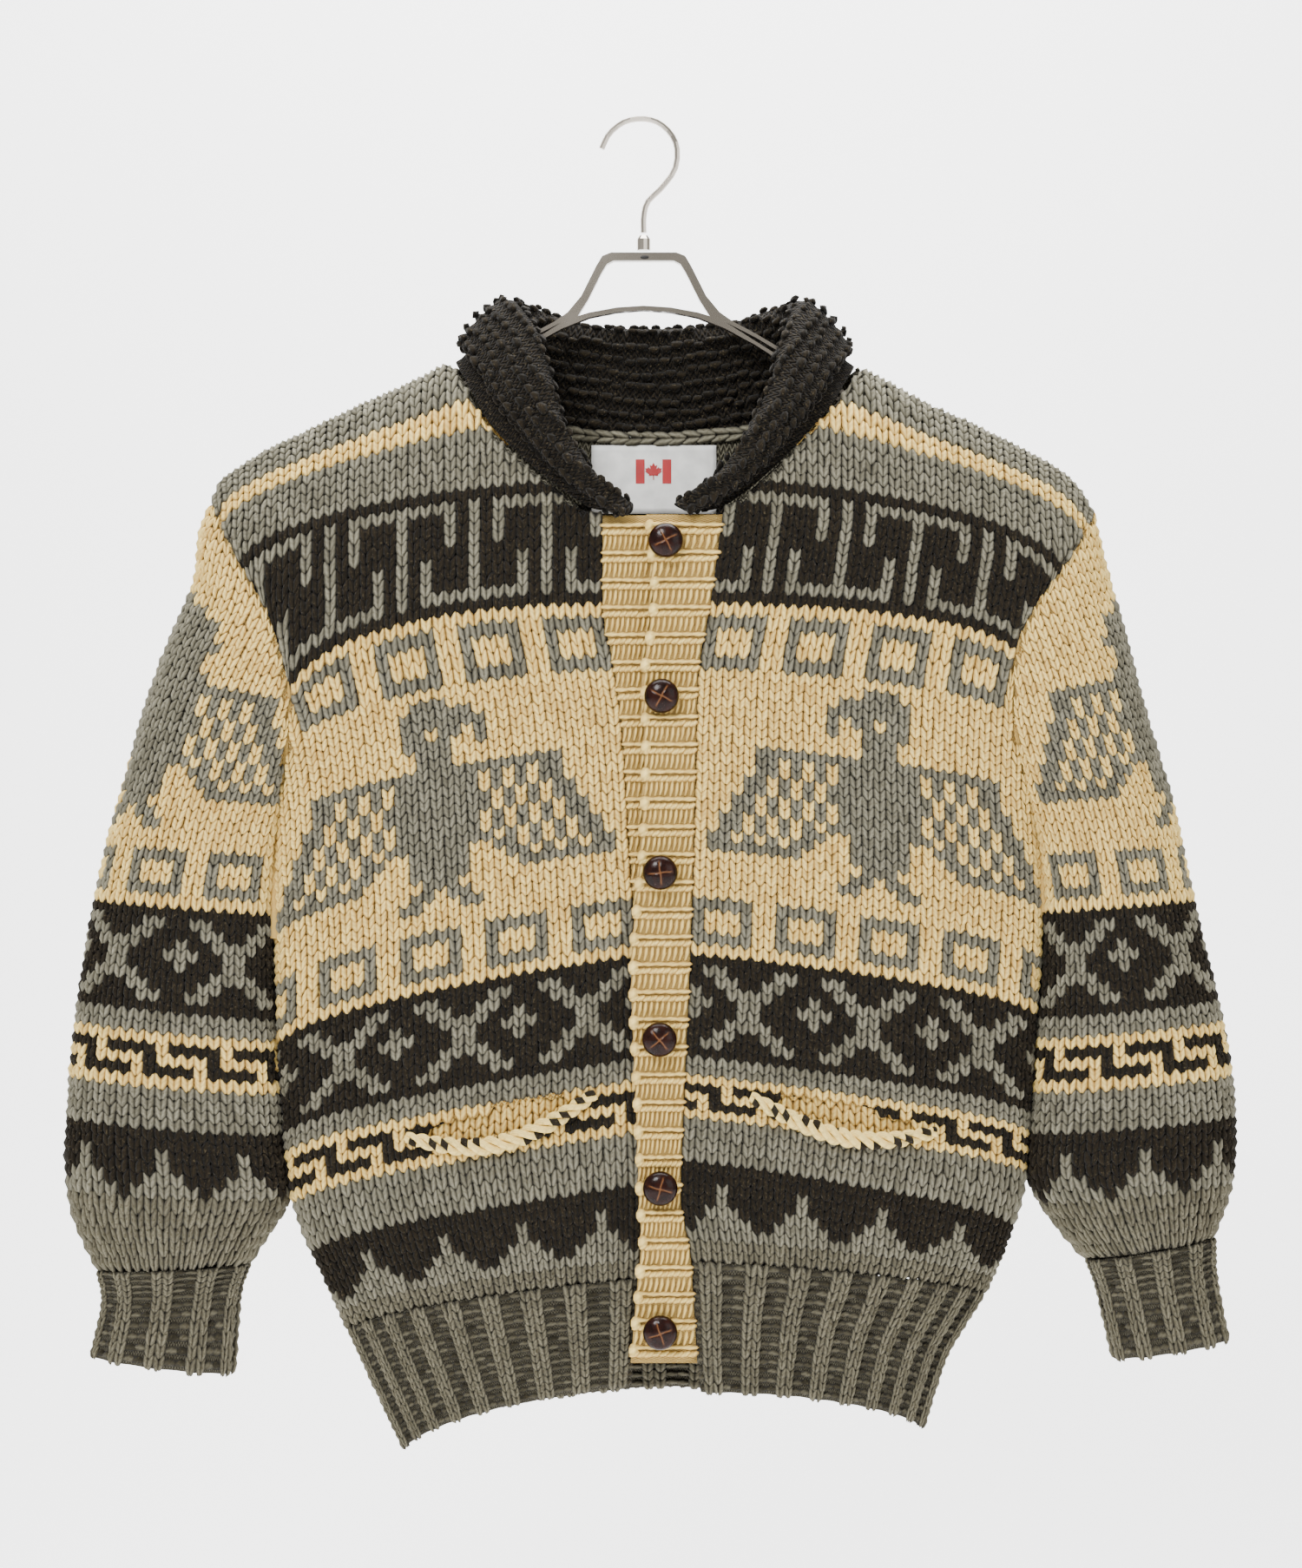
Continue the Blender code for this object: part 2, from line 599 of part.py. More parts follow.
def build_front(side, finish):
    """One front from the shoulder to the rib, its pocket's mouth cut."""
    shift = lap_shift if side == "right" else None
    outer, normals = half_grid("front", side, PANEL_ROWS, panel_shares(side, False), shift)
    parts = build_panel("front_" + side, outer, normals, finish)
    cut_pocket(parts["lower"], side)


def join_halves(rows, left_shares, right_shares, starts=True):
    """Left half reversed and joined to the right one, as one grid of the back."""
    left, left_normals = half_grid("back", "left", rows, left_shares, None, starts)
    right, right_normals = half_grid("back", "right", rows, right_shares, None, starts)
    outer = [a[:0:-1] + b for a, b in zip(left, right)]
    normals = [a[:0:-1] + b for a, b in zip(left_normals, right_normals)]
    return outer, normals


def build_back(finish):
    """The whole back from shoulder to rib."""
    shares = [panel_shares(side, True) for side in ("left", "right")]
    outer, normals = join_halves(PANEL_ROWS, *shares)
    build_panel("back", outer, normals, finish)


def build_hem(side, finish):
    """Ribbed hem of one front."""
    shift = lap_shift if side == "right" else None
    outer, normals = half_grid("front", side, HEM_ROWS, rib_shares(HEM_RIBS[side]), shift, False)
    return wall("hem_rib_" + side, outer, normals, finish, relief=rib_relief(RIB_HEIGHT))


def build_back_hem(finish):
    """Ribbed hem of the back."""
    shares = rib_shares(HEM_RIBS["back"] / 2)
    outer, normals = join_halves(HEM_ROWS, shares, shares, False)
    return wall("hem_rib_back", outer, normals, finish, relief=rib_relief(RIB_HEIGHT))


def ring_points(table_row, count):
    """Level-ish oval of a sleeve: first its outer end, then its front, inner end, back."""
    x_outer, z_outer, x_inner, z_inner, half_depth, y = table_row
    points = []
    for k in range(count):
        turn = 2.0 * math.pi * k / count
        share = (1.0 - math.cos(turn)) / 2
        x = x_outer + (x_inner - x_outer) * share
        z = z_outer + (z_inner - z_outer) * share
        bulge = math.copysign(abs(math.sin(turn)) ** SLEEVE_BULGE, math.sin(turn))
        points.append(Vector((x, y - half_depth * bulge, z)))
    return points


def armhole_loop(side):
    """The armhole's points and normals: front from shoulder to underarm, then back up."""
    points, normals = [], []
    last = len(ARMHOLE_ROWS) - 1
    for face, order in (("front", range(last)), ("back", range(last, 0, -1))):
        for i in order:
            x, z = row_place(side, ARMHOLE_ROWS[i], 1.0, face == "back")
            y = cloth_y(face, side, x, z)
            points.append(Vector((x, y if i not in (0, last) else 0.0, z)))
            normals.append(cloth_normal(face, side, x, z))
    return points, normals


def grid_normals(rings, outward):
    """Normals of a grid of rings, turned away from each ring's middle."""
    normals = []
    for i, ring in enumerate(rings):
        count = len(ring)
        middle = sum(ring, Vector()) / count
        line = []
        for k in range(count):
            around = ring[(k + 1) % count] - ring[k - 1]
            down = rings[min(i + 1, len(rings) - 1)][k] - rings[max(i - 1, 0)][k]
            normal = around.cross(down).normalized()
            if normal.dot(ring[k] - middle) * outward < 0.0:
                normal.negate()
            line.append(normal)
        normals.append(line)
    return normals


def sleeve_rings(side):
    """Rings of a sleeve from the armhole to the cuff, and their normals."""
    loop, loop_normals = armhole_loop(side)
    count = len(loop)
    table = SLEEVE[side]
    first = ring_points(table[0], count)
    rings = []
    for i, row in enumerate(table):
        fade = 1.0 - ease(i / SLEEVE_FADE)
        ring = ring_points(row, count)
        rings.append([p + (loop[k] - first[k]) * fade for k, p in enumerate(ring)])
    normals = grid_normals(rings, 1.0)
    for k in range(count):
        held = (1.0 + math.cos(2.0 * math.pi * k / count)) / 2
        mixed = loop_normals[k] * held + normals[0][k] * (1.0 - held)
        normals[0][k] = mixed.normalized()
        away = (rings[1][k] - rings[0][k]).normalized()
        rings[0][k] = rings[0][k] + away * ARMHOLE_GAP + loop_normals[k] * GAP * (1.5 - held)
    return rings, normals


def build_sleeve(side, finish):
    """One sleeve, a tube from the armhole to the cuff."""
    rings, normals = sleeve_rings(side)
    for part, (first, last) in SLEEVE_PARTS.items():
        stretch = rings[first:last + 1]
        if first:
            stretch[0] = [p + (q - p).normalized() * GAP for p, q in zip(*stretch[:2])]
        wall("sleeve_%s_%s" % (side, part), stretch, normals[first:last + 1], finish, ring=True)


def build_cuff(side, finish):
    """One ribbed cuff."""
    count = CUFF_RIBS * POINTS_A_RIB
    rings = [ring_points(row, count) for row in CUFF[side]]
    normals = grid_normals(rings, 1.0)
    return wall("cuff_" + side, rings, normals, finish, ring=True,
                relief=rib_relief(RIB_HEIGHT))


def build_band(name, over, finish):
    """A button band of level ribs, along the fronts' middle."""
    side = "right" if over else "left"
    steps = 2 * round((BAND_TOP - BAND_BOTTOM) / BAND_RIB_PITCH)
    outer, normals = [], []
    for i in range(steps + 1):
        z = BAND_TOP + (BAND_BOTTOM - BAND_TOP) * i / steps
        edge = curve_at(FRONT_EDGE[side], z)
        if over:
            start, end = edge - BAND_GAP, edge - curve_at(OVER_BAND_WIDTH, z)
        else:
            start, end = edge + BAND_GAP, edge + BAND_WIDTH
        line, directions = [], []
        for j in range(BAND_COLUMNS + 1):
            x = start + (end - start) * j / BAND_COLUMNS
            forward = LAP if over else 0.0
            half = "right" if x > MID_X else "left"
            line.append(Vector((x, cloth_y("front", half, x, z) - forward, z)))
            directions.append(Vector((0.0, -1.0, 0.0)))
        outer.append(line)
        normals.append(directions)
    return wall(name, outer, normals, finish,
                relief=lambda i, j: BAND_RIB_HEIGHT if i % 2 else 0.0)


def collar_profile(seam, normal, fold, share, radius):
    """Closed section of the folded collar: its ridged face, then back along the plain one."""
    stand = fold - seam
    rise = stand.normalized()
    out = (normal - rise * normal.dot(rise)).normalized()
    start = seam + rise * COLLAR_GAP - out * (COLLAR_WALL / 2)
    crest = fold - out * (COLLAR_WALL / 2)
    lift = out * (2.0 * radius)
    end = start + stand * (1.0 - share) + out * (COLLAR_WALL + FALL_GAP)
    middle = [
        start,
        start + (crest - rise * radius - start) * 0.5 + out * 0.6,
        crest - rise * radius,
        crest - rise * (0.3 * radius) + out * (0.3 * radius),
        crest + out * radius,
        crest - rise * (0.3 * radius) + out * (1.7 * radius),
        crest - rise * radius + lift,
        (crest - rise * radius + lift + end) * 0.5 + out * (0.25 * radius),
        end,
    ]
    steps = [k * (len(middle) - 1) / (COLLAR_POINTS - 1) for k in range(COLLAR_POINTS)]
    line = spline(middle, steps)
    face, plain = [], []
    for k, point in enumerate(line):
        along = (line[min(k + 1, COLLAR_POINTS - 1)] - line[max(k - 1, 0)]).normalized()
        side = rise.cross(out).normalized()
        across = along.cross(side).normalized()
        ridge = GARTER_HEIGHT if k % 2 else 0.0
        face.append(point + across * (COLLAR_WALL / 2 - GARTER_HEIGHT / 2 + ridge))
        plain.append(point - across * (COLLAR_WALL / 2 - GARTER_HEIGHT / 2))
    return face + plain[::-1]


def build_collar(finish):
    """Garter-stitch shawl collar: it stands around the neck and folds outwards."""
    seams, folds, forms = [], [], []
    first, last = COLLAR_FINE
    places = []
    for i, (face, x, z, fold_x, fold_y, fold_z, share) in enumerate(COLLAR):
        side = "left" if x < MID_X else "right"
        seams.append(Vector((x, cloth_y(face, side, x, z), z)))
        folds.append(Vector((fold_x, fold_y, fold_z)))
        small, large = FOLD_RADIUS
        end = min(i, len(COLLAR) - 1 - i) / (first + 1)
        forms.append(Vector((share, small + (large - small) * ease(end), 0.0)))
        places.append(float(i))
        if first <= i < last:
            places.append(i + 0.5)
    seams, folds, forms = (spline(rows, places) for rows in (seams, folds, forms))
    points, faces = [], []
    stations = len(places)
    for i in range(stations):
        along = seams[min(i + 1, stations - 1)] - seams[max(i - 1, 0)]
        normal = (folds[i] - seams[i]).cross(along).normalized()
        points += collar_profile(seams[i], normal, folds[i], forms[i].x, forms[i].y)
    loop = 2 * COLLAR_POINTS
    for i in range(stations - 1):
        for k in range(loop):
            n = (k + 1) % loop
            faces.append((i * loop + k, i * loop + n, (i + 1) * loop + n, (i + 1) * loop + k))
    for i in (0, stations - 1):
        for k in range(COLLAR_POINTS - 1):
            far = loop - 1 - k
            faces.append((i * loop + k, i * loop + k + 1, i * loop + far - 1, i * loop + far))
    return solid("collar", points, faces, finish)


def pocket_curve(side, sag, count):
    """x and z along one edge of a pocket mouth."""
    x1, z1, x2, z2 = POCKETS[side][:4]
    places = []
    for k in range(count):
        t = k / (count - 1)
        places.append((x1 + (x2 - x1) * t, z1 + (z2 - z1) * t - sag * math.sin(math.pi * t)))
    return places


def cut_pocket(front, side):
    """Cut the crescent mouth of a pocket through a front."""
    lower, upper = POCKETS[side][4:]
    edge = pocket_curve(side, lower, 9) + pocket_curve(side, upper - MOUTH_OVERLAP, 9)[-2:0:-1]
    count = len(edge)
    points = [(x, y, z) for y in MOUTH_DEPTH for x, z in edge]
    faces = [tuple(range(count)), tuple(range(count, 2 * count))]
    faces += [(k, (k + 1) % count, count + (k + 1) % count, count + k) for k in range(count)]
    cutter = solid("cut_pocket_" + side, points, faces, front.data.materials[0], False)
    cutter.hide_render = True
    cutter.display_type = "WIRE"
    cut = front.modifiers.new("pocket mouth", "BOOLEAN")
    cut.operation = "DIFFERENCE"
    cut.object = cutter


def build_lining(side, finish):
    """The strip of pocket lining that shows behind a pocket mouth."""
    rows, columns = 4, 8
    upper = pocket_curve(side, 0.0, columns + 1)
    outer, normals = [], []
    for i in range(rows):
        line, directions = [], []
        for x, z in upper:
            place = z + LINING_RISE - (LINING_RISE + LINING_DROP) * i / (rows - 1)
            y = cloth_y("front", side, x, place) + WALL + LINING_CLEAR
            line.append(Vector((x, y, place)))
            directions.append(Vector((0.0, -1.0, 0.0)))
        outer.append(line)
        normals.append(directions)
    return wall("pocket_lining_" + side, outer, normals, finish, LINING_WALL)


def build_lip(side, finish):
    """The twisted edge that sags along the bottom of a pocket mouth."""
    steps = 15
    path, radii = [], []
    for k, (x, z) in enumerate(pocket_curve(side, POCKETS[side][4], steps)):
        t = k / (steps - 1)
        radius = LIP_RADIUS * (0.5 + 0.5 * math.sin(math.pi * t) ** 0.6)
        lift = lap_shift(x, z) if side == "right" else 0.0
        y = cloth_y("front", side, x, z) - lift - radius * LIP_FLAT - 2 * GAP
        path.append(Vector((x, y, z + radius * 0.4)))
        radii.append(radius)
    return tube("pocket_lip_" + side, path, radii, finish, 6, LIP_FLAT)


def build_button(number, x, z, finish):
    """A domed leather button on the outer band."""
    segments, rings = 12, 7
    shell = bmesh.new()
    bmesh.ops.create_uvsphere(shell, u_segments=segments, v_segments=rings,
                              radius=BUTTON_DIAMETER / 2 * MM)
    for vert in shell.verts:
        vert.co = Vector((vert.co.x, -vert.co.z * BUTTON_THICKNESS / BUTTON_DIAMETER, vert.co.y))
    bmesh.ops.recalc_face_normals(shell, faces=shell.faces)
    mesh = bpy.data.meshes.new("button")
    shell.to_mesh(mesh)
    shell.free()
    mesh.shade_smooth()
    mesh.materials.append(finish)
    made = bpy.data.objects.new("button_%d" % number, mesh)
    side = "right" if x > MID_X else "left"
    band = cloth_y("front", side, x, z) - LAP - BAND_RIB_HEIGHT
    made.location = Vector((x, band - GAP - BUTTON_THICKNESS / 2, z)) * MM
    bpy.context.collection.objects.link(made)
    return made


def build_label(finish):
    """Satin label sewn inside the back below the neck."""
    x1, x2, z1, z2 = LABEL
    rows, columns = 4, 6
    outer, normals = [], []
    for i in range(rows):
        line, directions = [], []
        for j in range(columns + 1):
            x = x1 + (x2 - x1) * j / columns
            z = z2 + (z1 - z2) * i / (rows - 1)
            half = "right" if x > MID_X else "left"
            line.append(Vector((x, cloth_y("back", half, x, z) - WALL - LABEL_CLEAR, z)))
            directions.append(Vector((0.0, -1.0, 0.0)))
        outer.append(line)
        normals.append(directions)
    return wall("neck_label", outer, normals, finish, LABEL_WALL)


# ---------------------------------------------------------------- hanger pieces
def build_hanger(finish):
    """Hanger frame: a plate with a window over it, and an arm of two rails each side."""
    width, points, faces = FRAME_DEPTH / 2, [], []
    shell = bmesh.new()

    def loop(places):
        verts = [shell.verts.new(Vector((x, -width, z)) * MM) for x, z in places]
        for k, vert in enumerate(verts):
            shell.edges.new((vert, verts[(k + 1) % len(verts)]))

    def mirrored(places):
        return places + [(-x, z) for x, z in places[::-1] if x != 0.0]

    top = [(24.0, FRAME_TOP), (30.5, FRAME_TOP - 2.5), (35.0, FRAME_TOP - 10.0),
           (46.0, FRAME_TOP - 32.0), (56.0, -141.0), (66.0, -148.0), (82.0, -156.5),
           (104.0, -169.5), (120.0, -184.5), (134.0, -193.0), (150.0, -199.5),
           (194.0, -219.0), (199.0, -223.0), (199.0, -227.0), (194.0, -228.5)]
    bottom = [(150.0, -209.5), (134.0, -202.5), (120.0, -194.0), (104.0, -179.0),
              (82.0, -165.0), (60.0, -153.0), (40.0, -145.0), (20.0, -141.0),
              (0.0, -139.5)]
    outline = top + bottom
    loop(mirrored(outline))
    window = [(0.0, FRAME_TOP - 6.0), (22.0, FRAME_TOP - 6.0), (27.0, FRAME_TOP - 8.5),
              (31.0, FRAME_TOP - 15.0), (41.0, FRAME_TOP - 35.0), (48.5, -143.8),
              (40.0, -141.2), (20.0, -137.5), (0.0, -136.2)]
    loop(mirrored(window))
    slot = [(60.0, -148.2), (82.0, -159.4), (104.0, -172.6), (120.0, -187.6),
            (134.0, -196.2), (150.0, -202.8), (187.0, -219.3), (188.0, -221.8),
            (150.0, -206.2), (134.0, -199.4), (120.0, -190.9), (104.0, -175.9),
            (82.0, -162.1)]
    for hand in (1.0, -1.0):
        loop([(x * hand, z) for x, z in slot])
    bmesh.ops.triangle_fill(shell, edges=shell.edges[:], use_beauty=True)
    grown = bmesh.ops.extrude_face_region(shell, geom=shell.faces[:])
    moved = [g for g in grown["geom"] if isinstance(g, bmesh.types.BMVert)]
    bmesh.ops.translate(shell, verts=moved, vec=Vector((0.0, FRAME_DEPTH * MM, 0.0)))
    for vert in shell.verts:
        vert.co.x += FERRULE[0] * MM
    bmesh.ops.recalc_face_normals(shell, faces=shell.faces)
    mesh = bpy.data.meshes.new("hanger_frame")
    shell.to_mesh(mesh)
    shell.free()
    mesh.shade_smooth()
    mesh.set_sharp_from_angle(angle=math.radians(35.0))
    mesh.materials.append(finish)
    made = bpy.data.objects.new("hanger_frame", mesh)
    bpy.context.collection.objects.link(made)
    return made


def build_hook(finish):
    """Bent wire hook of the hanger."""
    steps = [k * (len(HOOK_POINTS) - 1) / (HOOK_STATIONS - 1) for k in range(HOOK_STATIONS)]
    path = spline([(x, 0.0, z) for x, z in HOOK_POINTS], steps)
    return tube("hanger_hook", path, [WIRE / 2] * HOOK_STATIONS, finish)


def build_ferrule(finish):
    """Small turned collar that the hook swivels in."""
    x, low, height, radius = FERRULE
    path = [Vector((x, 0.0, low + height * t)) for t in (0.0, 0.15, 0.75, 1.0)]
    return tube("hanger_ferrule", path, [radius, radius, radius, radius * 0.6], finish, 12)


def main():
    """Build every piece of the cardigan and its hanger."""
    for old in list(bpy.data.objects):
        bpy.data.objects.remove(old, do_unlink=True)
    wool = material("grey_and_cream_wool", (0.42, 0.39, 0.33), 0.95)
    heather = material("heather_wool", (0.19, 0.17, 0.14), 0.95)
    brown = material("dark_brown_wool", (0.035, 0.028, 0.02), 0.95)
    cream = material("cream_wool", (0.80, 0.66, 0.41), 0.95)
    leather = material("brown_leather", (0.03, 0.008, 0.006), 0.3)
    satin = material("white_satin", (0.8, 0.8, 0.78), 0.4)
    plastic = material("smoky_plastic", (0.25, 0.24, 0.22), 0.2, 0.8)
    nickel = material("nickel_wire", (0.6, 0.58, 0.55), 0.2, 1.0)
    for side in ("left", "right"):
        build_front(side, wool)
        build_hem(side, heather)
        build_sleeve(side, wool)
        build_cuff(side, heather)
        build_lining(side, cream)
        build_lip(side, cream)
    build_back(wool)
    build_back_hem(heather)
    build_band("band_under", False, cream)
    build_band("band_over", True, cream)
    build_collar(brown)
    for number, (x, z) in enumerate(zip(BUTTON_X, BUTTON_HEIGHTS), 1):
        build_button(number, x, z, leather)
    build_label(satin)
    build_hanger(plastic)
    build_hook(nickel)
    build_ferrule(nickel)


main()
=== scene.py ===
"""Looks of a hand-knitted cowichan cardigan, buttoned up on a plain clothes hanger.

The cloth is worked out stitch by stitch. Each panel has a grid of stitch corners on
the same surface as its solid: a plain shell lies just under the grid, and a joined
mesh of small closed legs lies on it, coloured by the charts of the colourwork.
Tables are in millimetres, the meshes in metres, and "left" and "right" are the
viewer's.
"""

import logging
import math
from contextlib import contextmanager
from dataclasses import dataclass
from enum import Enum, IntEnum
from typing import Callable, Iterator, Optional, Sequence

import bpy
import numpy as np
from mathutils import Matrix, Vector


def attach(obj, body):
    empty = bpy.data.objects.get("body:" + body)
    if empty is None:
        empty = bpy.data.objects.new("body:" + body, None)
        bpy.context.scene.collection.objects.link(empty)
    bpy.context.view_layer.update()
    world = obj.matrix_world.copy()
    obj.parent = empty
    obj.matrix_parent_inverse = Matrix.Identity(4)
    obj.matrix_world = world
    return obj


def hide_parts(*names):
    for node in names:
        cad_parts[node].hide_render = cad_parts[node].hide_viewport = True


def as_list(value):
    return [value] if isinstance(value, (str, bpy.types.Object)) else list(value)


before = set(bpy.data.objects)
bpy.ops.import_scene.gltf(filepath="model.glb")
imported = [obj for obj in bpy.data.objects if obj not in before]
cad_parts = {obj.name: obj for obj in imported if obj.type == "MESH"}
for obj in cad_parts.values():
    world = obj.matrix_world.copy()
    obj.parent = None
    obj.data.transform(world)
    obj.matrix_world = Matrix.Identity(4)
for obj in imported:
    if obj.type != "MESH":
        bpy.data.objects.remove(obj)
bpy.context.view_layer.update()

LOG = logging.getLogger("cardigan")
MM = 0.001
TURN = 2.0 * np.pi
BODY = "root"
Array = np.ndarray
Table = Sequence[Sequence[float]]
Colour = tuple[float, float, float]
Piece = bpy.types.Object
Finish = bpy.types.Material
Socket = bpy.types.NodeSocket

MID_X = 13.0  # where the two halves of the body meet
GAP = 0.4  # air between neighbouring solids
WALL = 5.0  # thickness of the cloth
LAP = 8.0  # how far the upper front stands before the lower one


class Side(Enum):
    """The viewer's left or right."""

    LEFT = "left"
    RIGHT = "right"


class Face(Enum):
    """The front or the back of the body."""

    FRONT = "front"
    BACK = "back"


class Yarn(IntEnum):
    """The yarns, numbered as the material slots of every knitted piece."""

    GREY = 0
    CREAM = 1
    DARK = 2
    HEATHER = 3


# ------------------------------------------------------------------ small maths
class Curve:
    """Smooth line through a short table, held level past its ends."""

    def __init__(self, table: Table, value: int = 1) -> None:
        """Work out the slopes of one column over the first.

        Args:
            table: rows of numbers, the places first.
            value: column of the values.
        """
        rows = np.array([(row[0], row[value]) for row in table], float)
        self.keys, self.values = rows[np.argsort(rows[:, 0])].T
        rises = np.diff(self.values) / np.diff(self.keys)
        before, after = rises[:-1], rises[1:]
        same = before * after > 0.0
        total = np.where(same, before + after, 1.0)
        inner = np.where(same, 2.0 * before * after / total, 0.0)
        self.slopes = np.concatenate(([rises[0]], inner, [rises[-1]]))

    def __call__(self, where: Array) -> Array:
        """Values at some places.

        Args:
            where: places, a number or an array.

        Returns:
            The values there.
        """
        x = np.clip(where, self.keys[0], self.keys[-1])
        i = np.clip(np.searchsorted(self.keys, x, side="right") - 1, 0, len(self.keys) - 2)
        span = self.keys[i + 1] - self.keys[i]
        t = (x - self.keys[i]) / span
        rise = self.values[i + 1] - self.values[i]
        a, b = self.slopes[i] * span, self.slopes[i + 1] * span
        return self.values[i] + t * (a + t * ((3 * rise - 2 * a - b) + t * (a + b - 2 * rise)))


def ease(t: Array) -> Array:
    """Smooth step from 0 to 1."""
    t = np.clip(t, 0.0, 1.0)
    return t * t * (3.0 - 2.0 * t)


def unit(vectors: Array) -> Array:
    """Vectors of length one."""
    size = np.linalg.norm(vectors, axis=-1, keepdims=True)
    return vectors / np.maximum(size, 1e-9)


def spline(points: Array, places: Array, closed: bool = False) -> Array:
    """Smooth curve through points, along their first axis.

    Args:
        points: array whose first axis runs along the curve.
        places: where to take it; 1.5 is half way between the second and third.
        closed: whether the last point joins the first.

    Returns:
        An array like points with a row for each place.
    """
    points, places = np.asarray(points, float), np.asarray(places, float)
    count = len(points)
    if closed:
        i = np.floor(places).astype(int)
        p0, p1, p2, p3 = (points[(i + k) % count] for k in (-1, 0, 1, 2))
    else:
        i = np.minimum(places.astype(int), count - 2)
        first, last = 2.0 * points[:1] - points[1:2], 2.0 * points[-1:] - points[-2:-1]
        padded = np.concatenate((first, points, last))
        p0, p1, p2, p3 = (padded[i + k] for k in range(4))
    t = (places - i).reshape(places.shape + (1,) * (points.ndim - 1))
    return 0.5 * (2.0 * p1 + (p2 - p0) * t + (2.0 * p0 - 5.0 * p1 + 4.0 * p2 - p3) * t ** 2
                  + (3.0 * p1 - p0 - 3.0 * p2 + p3) * t ** 3)


def along(points: Array) -> Array:
    """Length from the first point to each point of one line."""
    steps = np.linalg.norm(np.diff(points, axis=0), axis=-1)
    return np.concatenate(([0.0], np.cumsum(steps)))


def resample(points: Array, where: Array, at: Array) -> Array:
    """Points of a line at some values of a measure that grows along it."""
    return np.stack([np.interp(at, where, points[:, k]) for k in range(3)], axis=-1)


def quads(rows: int, columns: int, width: int) -> tuple[Array, Array]:
    """Faces of a grid of points.

    Args:
        rows: rows of faces.
        columns: faces in a row; the last one joins the first point if it is their width.
        width: points in a row.

    Returns:
        The point numbers, and the row and column of each corner.
    """
    i, j = np.meshgrid(np.arange(rows), np.arange(columns), indexing="ij")
    corners = [np.stack((i + di, j + dj), axis=-1) for di, dj in ((0, 0), (0, 1), (1, 1), (1, 0))]
    place = np.stack(corners, axis=-2).reshape(-1, 4, 2)
    return place[..., 0] * width + place[..., 1] % width, place


# ------------------------------------------------------------------ object helpers
def choose(piece: Piece) -> None:
    """Make one object the only selected and the active one.

    Args:
        piece: the object.
    """
    bpy.ops.object.select_all(action="DESELECT")
    piece.select_set(True)
    bpy.context.view_layer.objects.active = piece


@contextmanager
def editing(piece: Piece, picked: str = "SELECT") -> Iterator[None]:
    """Edit mode of one object, begun with all or nothing of it selected.

    Args:
        piece: the object.
        picked: SELECT for all of it or DESELECT for nothing.

    Yields:
        Nothing, while edit mode lasts.
    """
    choose(piece)
    bpy.ops.object.mode_set(mode="EDIT")
    bpy.ops.mesh.select_all(action=picked)
    yield
    bpy.ops.object.mode_set(mode="OBJECT")


def apply_modifier(piece: Piece, kind: str, **values: object) -> None:
    """Add a modifier, set its values and apply it.

    Args:
        piece: the object.
        kind: kind of modifier.
        values: its settings.
    """
    choose(piece)
    made = piece.modifiers.new(kind.lower(), kind)
    for key, value in values.items():
        setattr(made, key, value)
    bpy.ops.object.modifier_apply(modifier=made.name)


def linked(name: str, data: bpy.types.ID) -> Piece:
    """New object of some data, in the scene.

    Args:
        name: its name.
        data: mesh, curve, lamp or camera.

    Returns:
        The object.
    """
    made = bpy.data.objects.new(name, data)
    bpy.context.collection.objects.link(made)
    return made


def sphere(segments: int, rings: int) -> Piece:
    """New sphere of radius 1 m with its pole along z.

    Args:
        segments: faces round it.
        rings: faces from pole to pole.

    Returns:
        The object, the active one.
    """
    bpy.ops.object.select_all(action="DESELECT")
    bpy.ops.mesh.primitive_uv_sphere_add(segments=segments, ring_count=rings, radius=1.0)
    return bpy.context.object


def mesh_piece(name: str, points: Array, faces: Array, yarn: Optional[Array] = None,
               tone: Optional[Array] = None, **layouts: Array) -> Piece:
    """Smooth object of a mesh given in millimetres.

    Args:
        name: its name.
        points: (n, 3) points.
        faces: (m, 3) or (m, 4) point numbers.
        yarn: material slot of each face.
        tone: lightness of each point.
        layouts: places of each face's corners on a flat layer, by the layer's name.

    Returns:
        The new object, at the origin.
    """
    mesh = bpy.data.meshes.new(name)
    count, corners = faces.shape
    mesh.vertices.add(len(points))
    mesh.vertices.foreach_set("co", (np.asarray(points) * MM).astype(np.float32).ravel())
    mesh.loops.add(count * corners)
    mesh.loops.foreach_set("vertex_index", faces.astype(np.int32).ravel())
    mesh.polygons.add(count)
    starts = np.arange(0, count * corners, corners, dtype=np.int32)
    mesh.polygons.foreach_set("loop_start", starts)
    mesh.polygons.foreach_set("use_smooth", np.full(count, True))
    mesh.update(calc_edges=True)
    if yarn is not None:
        mesh.polygons.foreach_set("material_index", yarn.astype(np.int32))
    for key, places in layouts.items():
        layer = mesh.uv_layers.new(name=key)
        layer.data.foreach_set("uv", places.astype(np.float32).ravel())
    if tone is not None:
        layer = mesh.attributes.new("tone", "FLOAT", "POINT")
        layer.data.foreach_set("value", tone.astype(np.float32))
    mesh.update()
    return linked(name, mesh)


def dress(piece: Piece, slot: str, finishes: Sequence[Finish],
          nodes: Sequence[str] = ()) -> Piece:
    """Give a piece its finishes and its body, and hide the solids it stands for.

    Args:
        piece: the object.
        slot: the record's slot; not used.
        finishes: its materials in order.
        nodes: the solids it stands for.

    Returns:
        The same object.
    """
    for finish in finishes:
        piece.data.materials.append(finish)
    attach(piece, BODY)
    if nodes:
        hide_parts(*nodes)
    return piece


# ------------------------------------------------------------------ finishes
def linear(colour: Colour) -> tuple[float, float, float, float]:
    """Scene-linear colour of a screen colour given from 0 to 255."""
    values = (c / 255.0 for c in colour)
    return (*(v / 12.92 if v <= 0.04045 else ((v + 0.055) / 1.055) ** 2.4 for v in values), 1.0)


def dimmed(colour: Colour) -> Colour:
    """A slightly darker colour."""
    return tuple(c * 0.9 for c in colour)


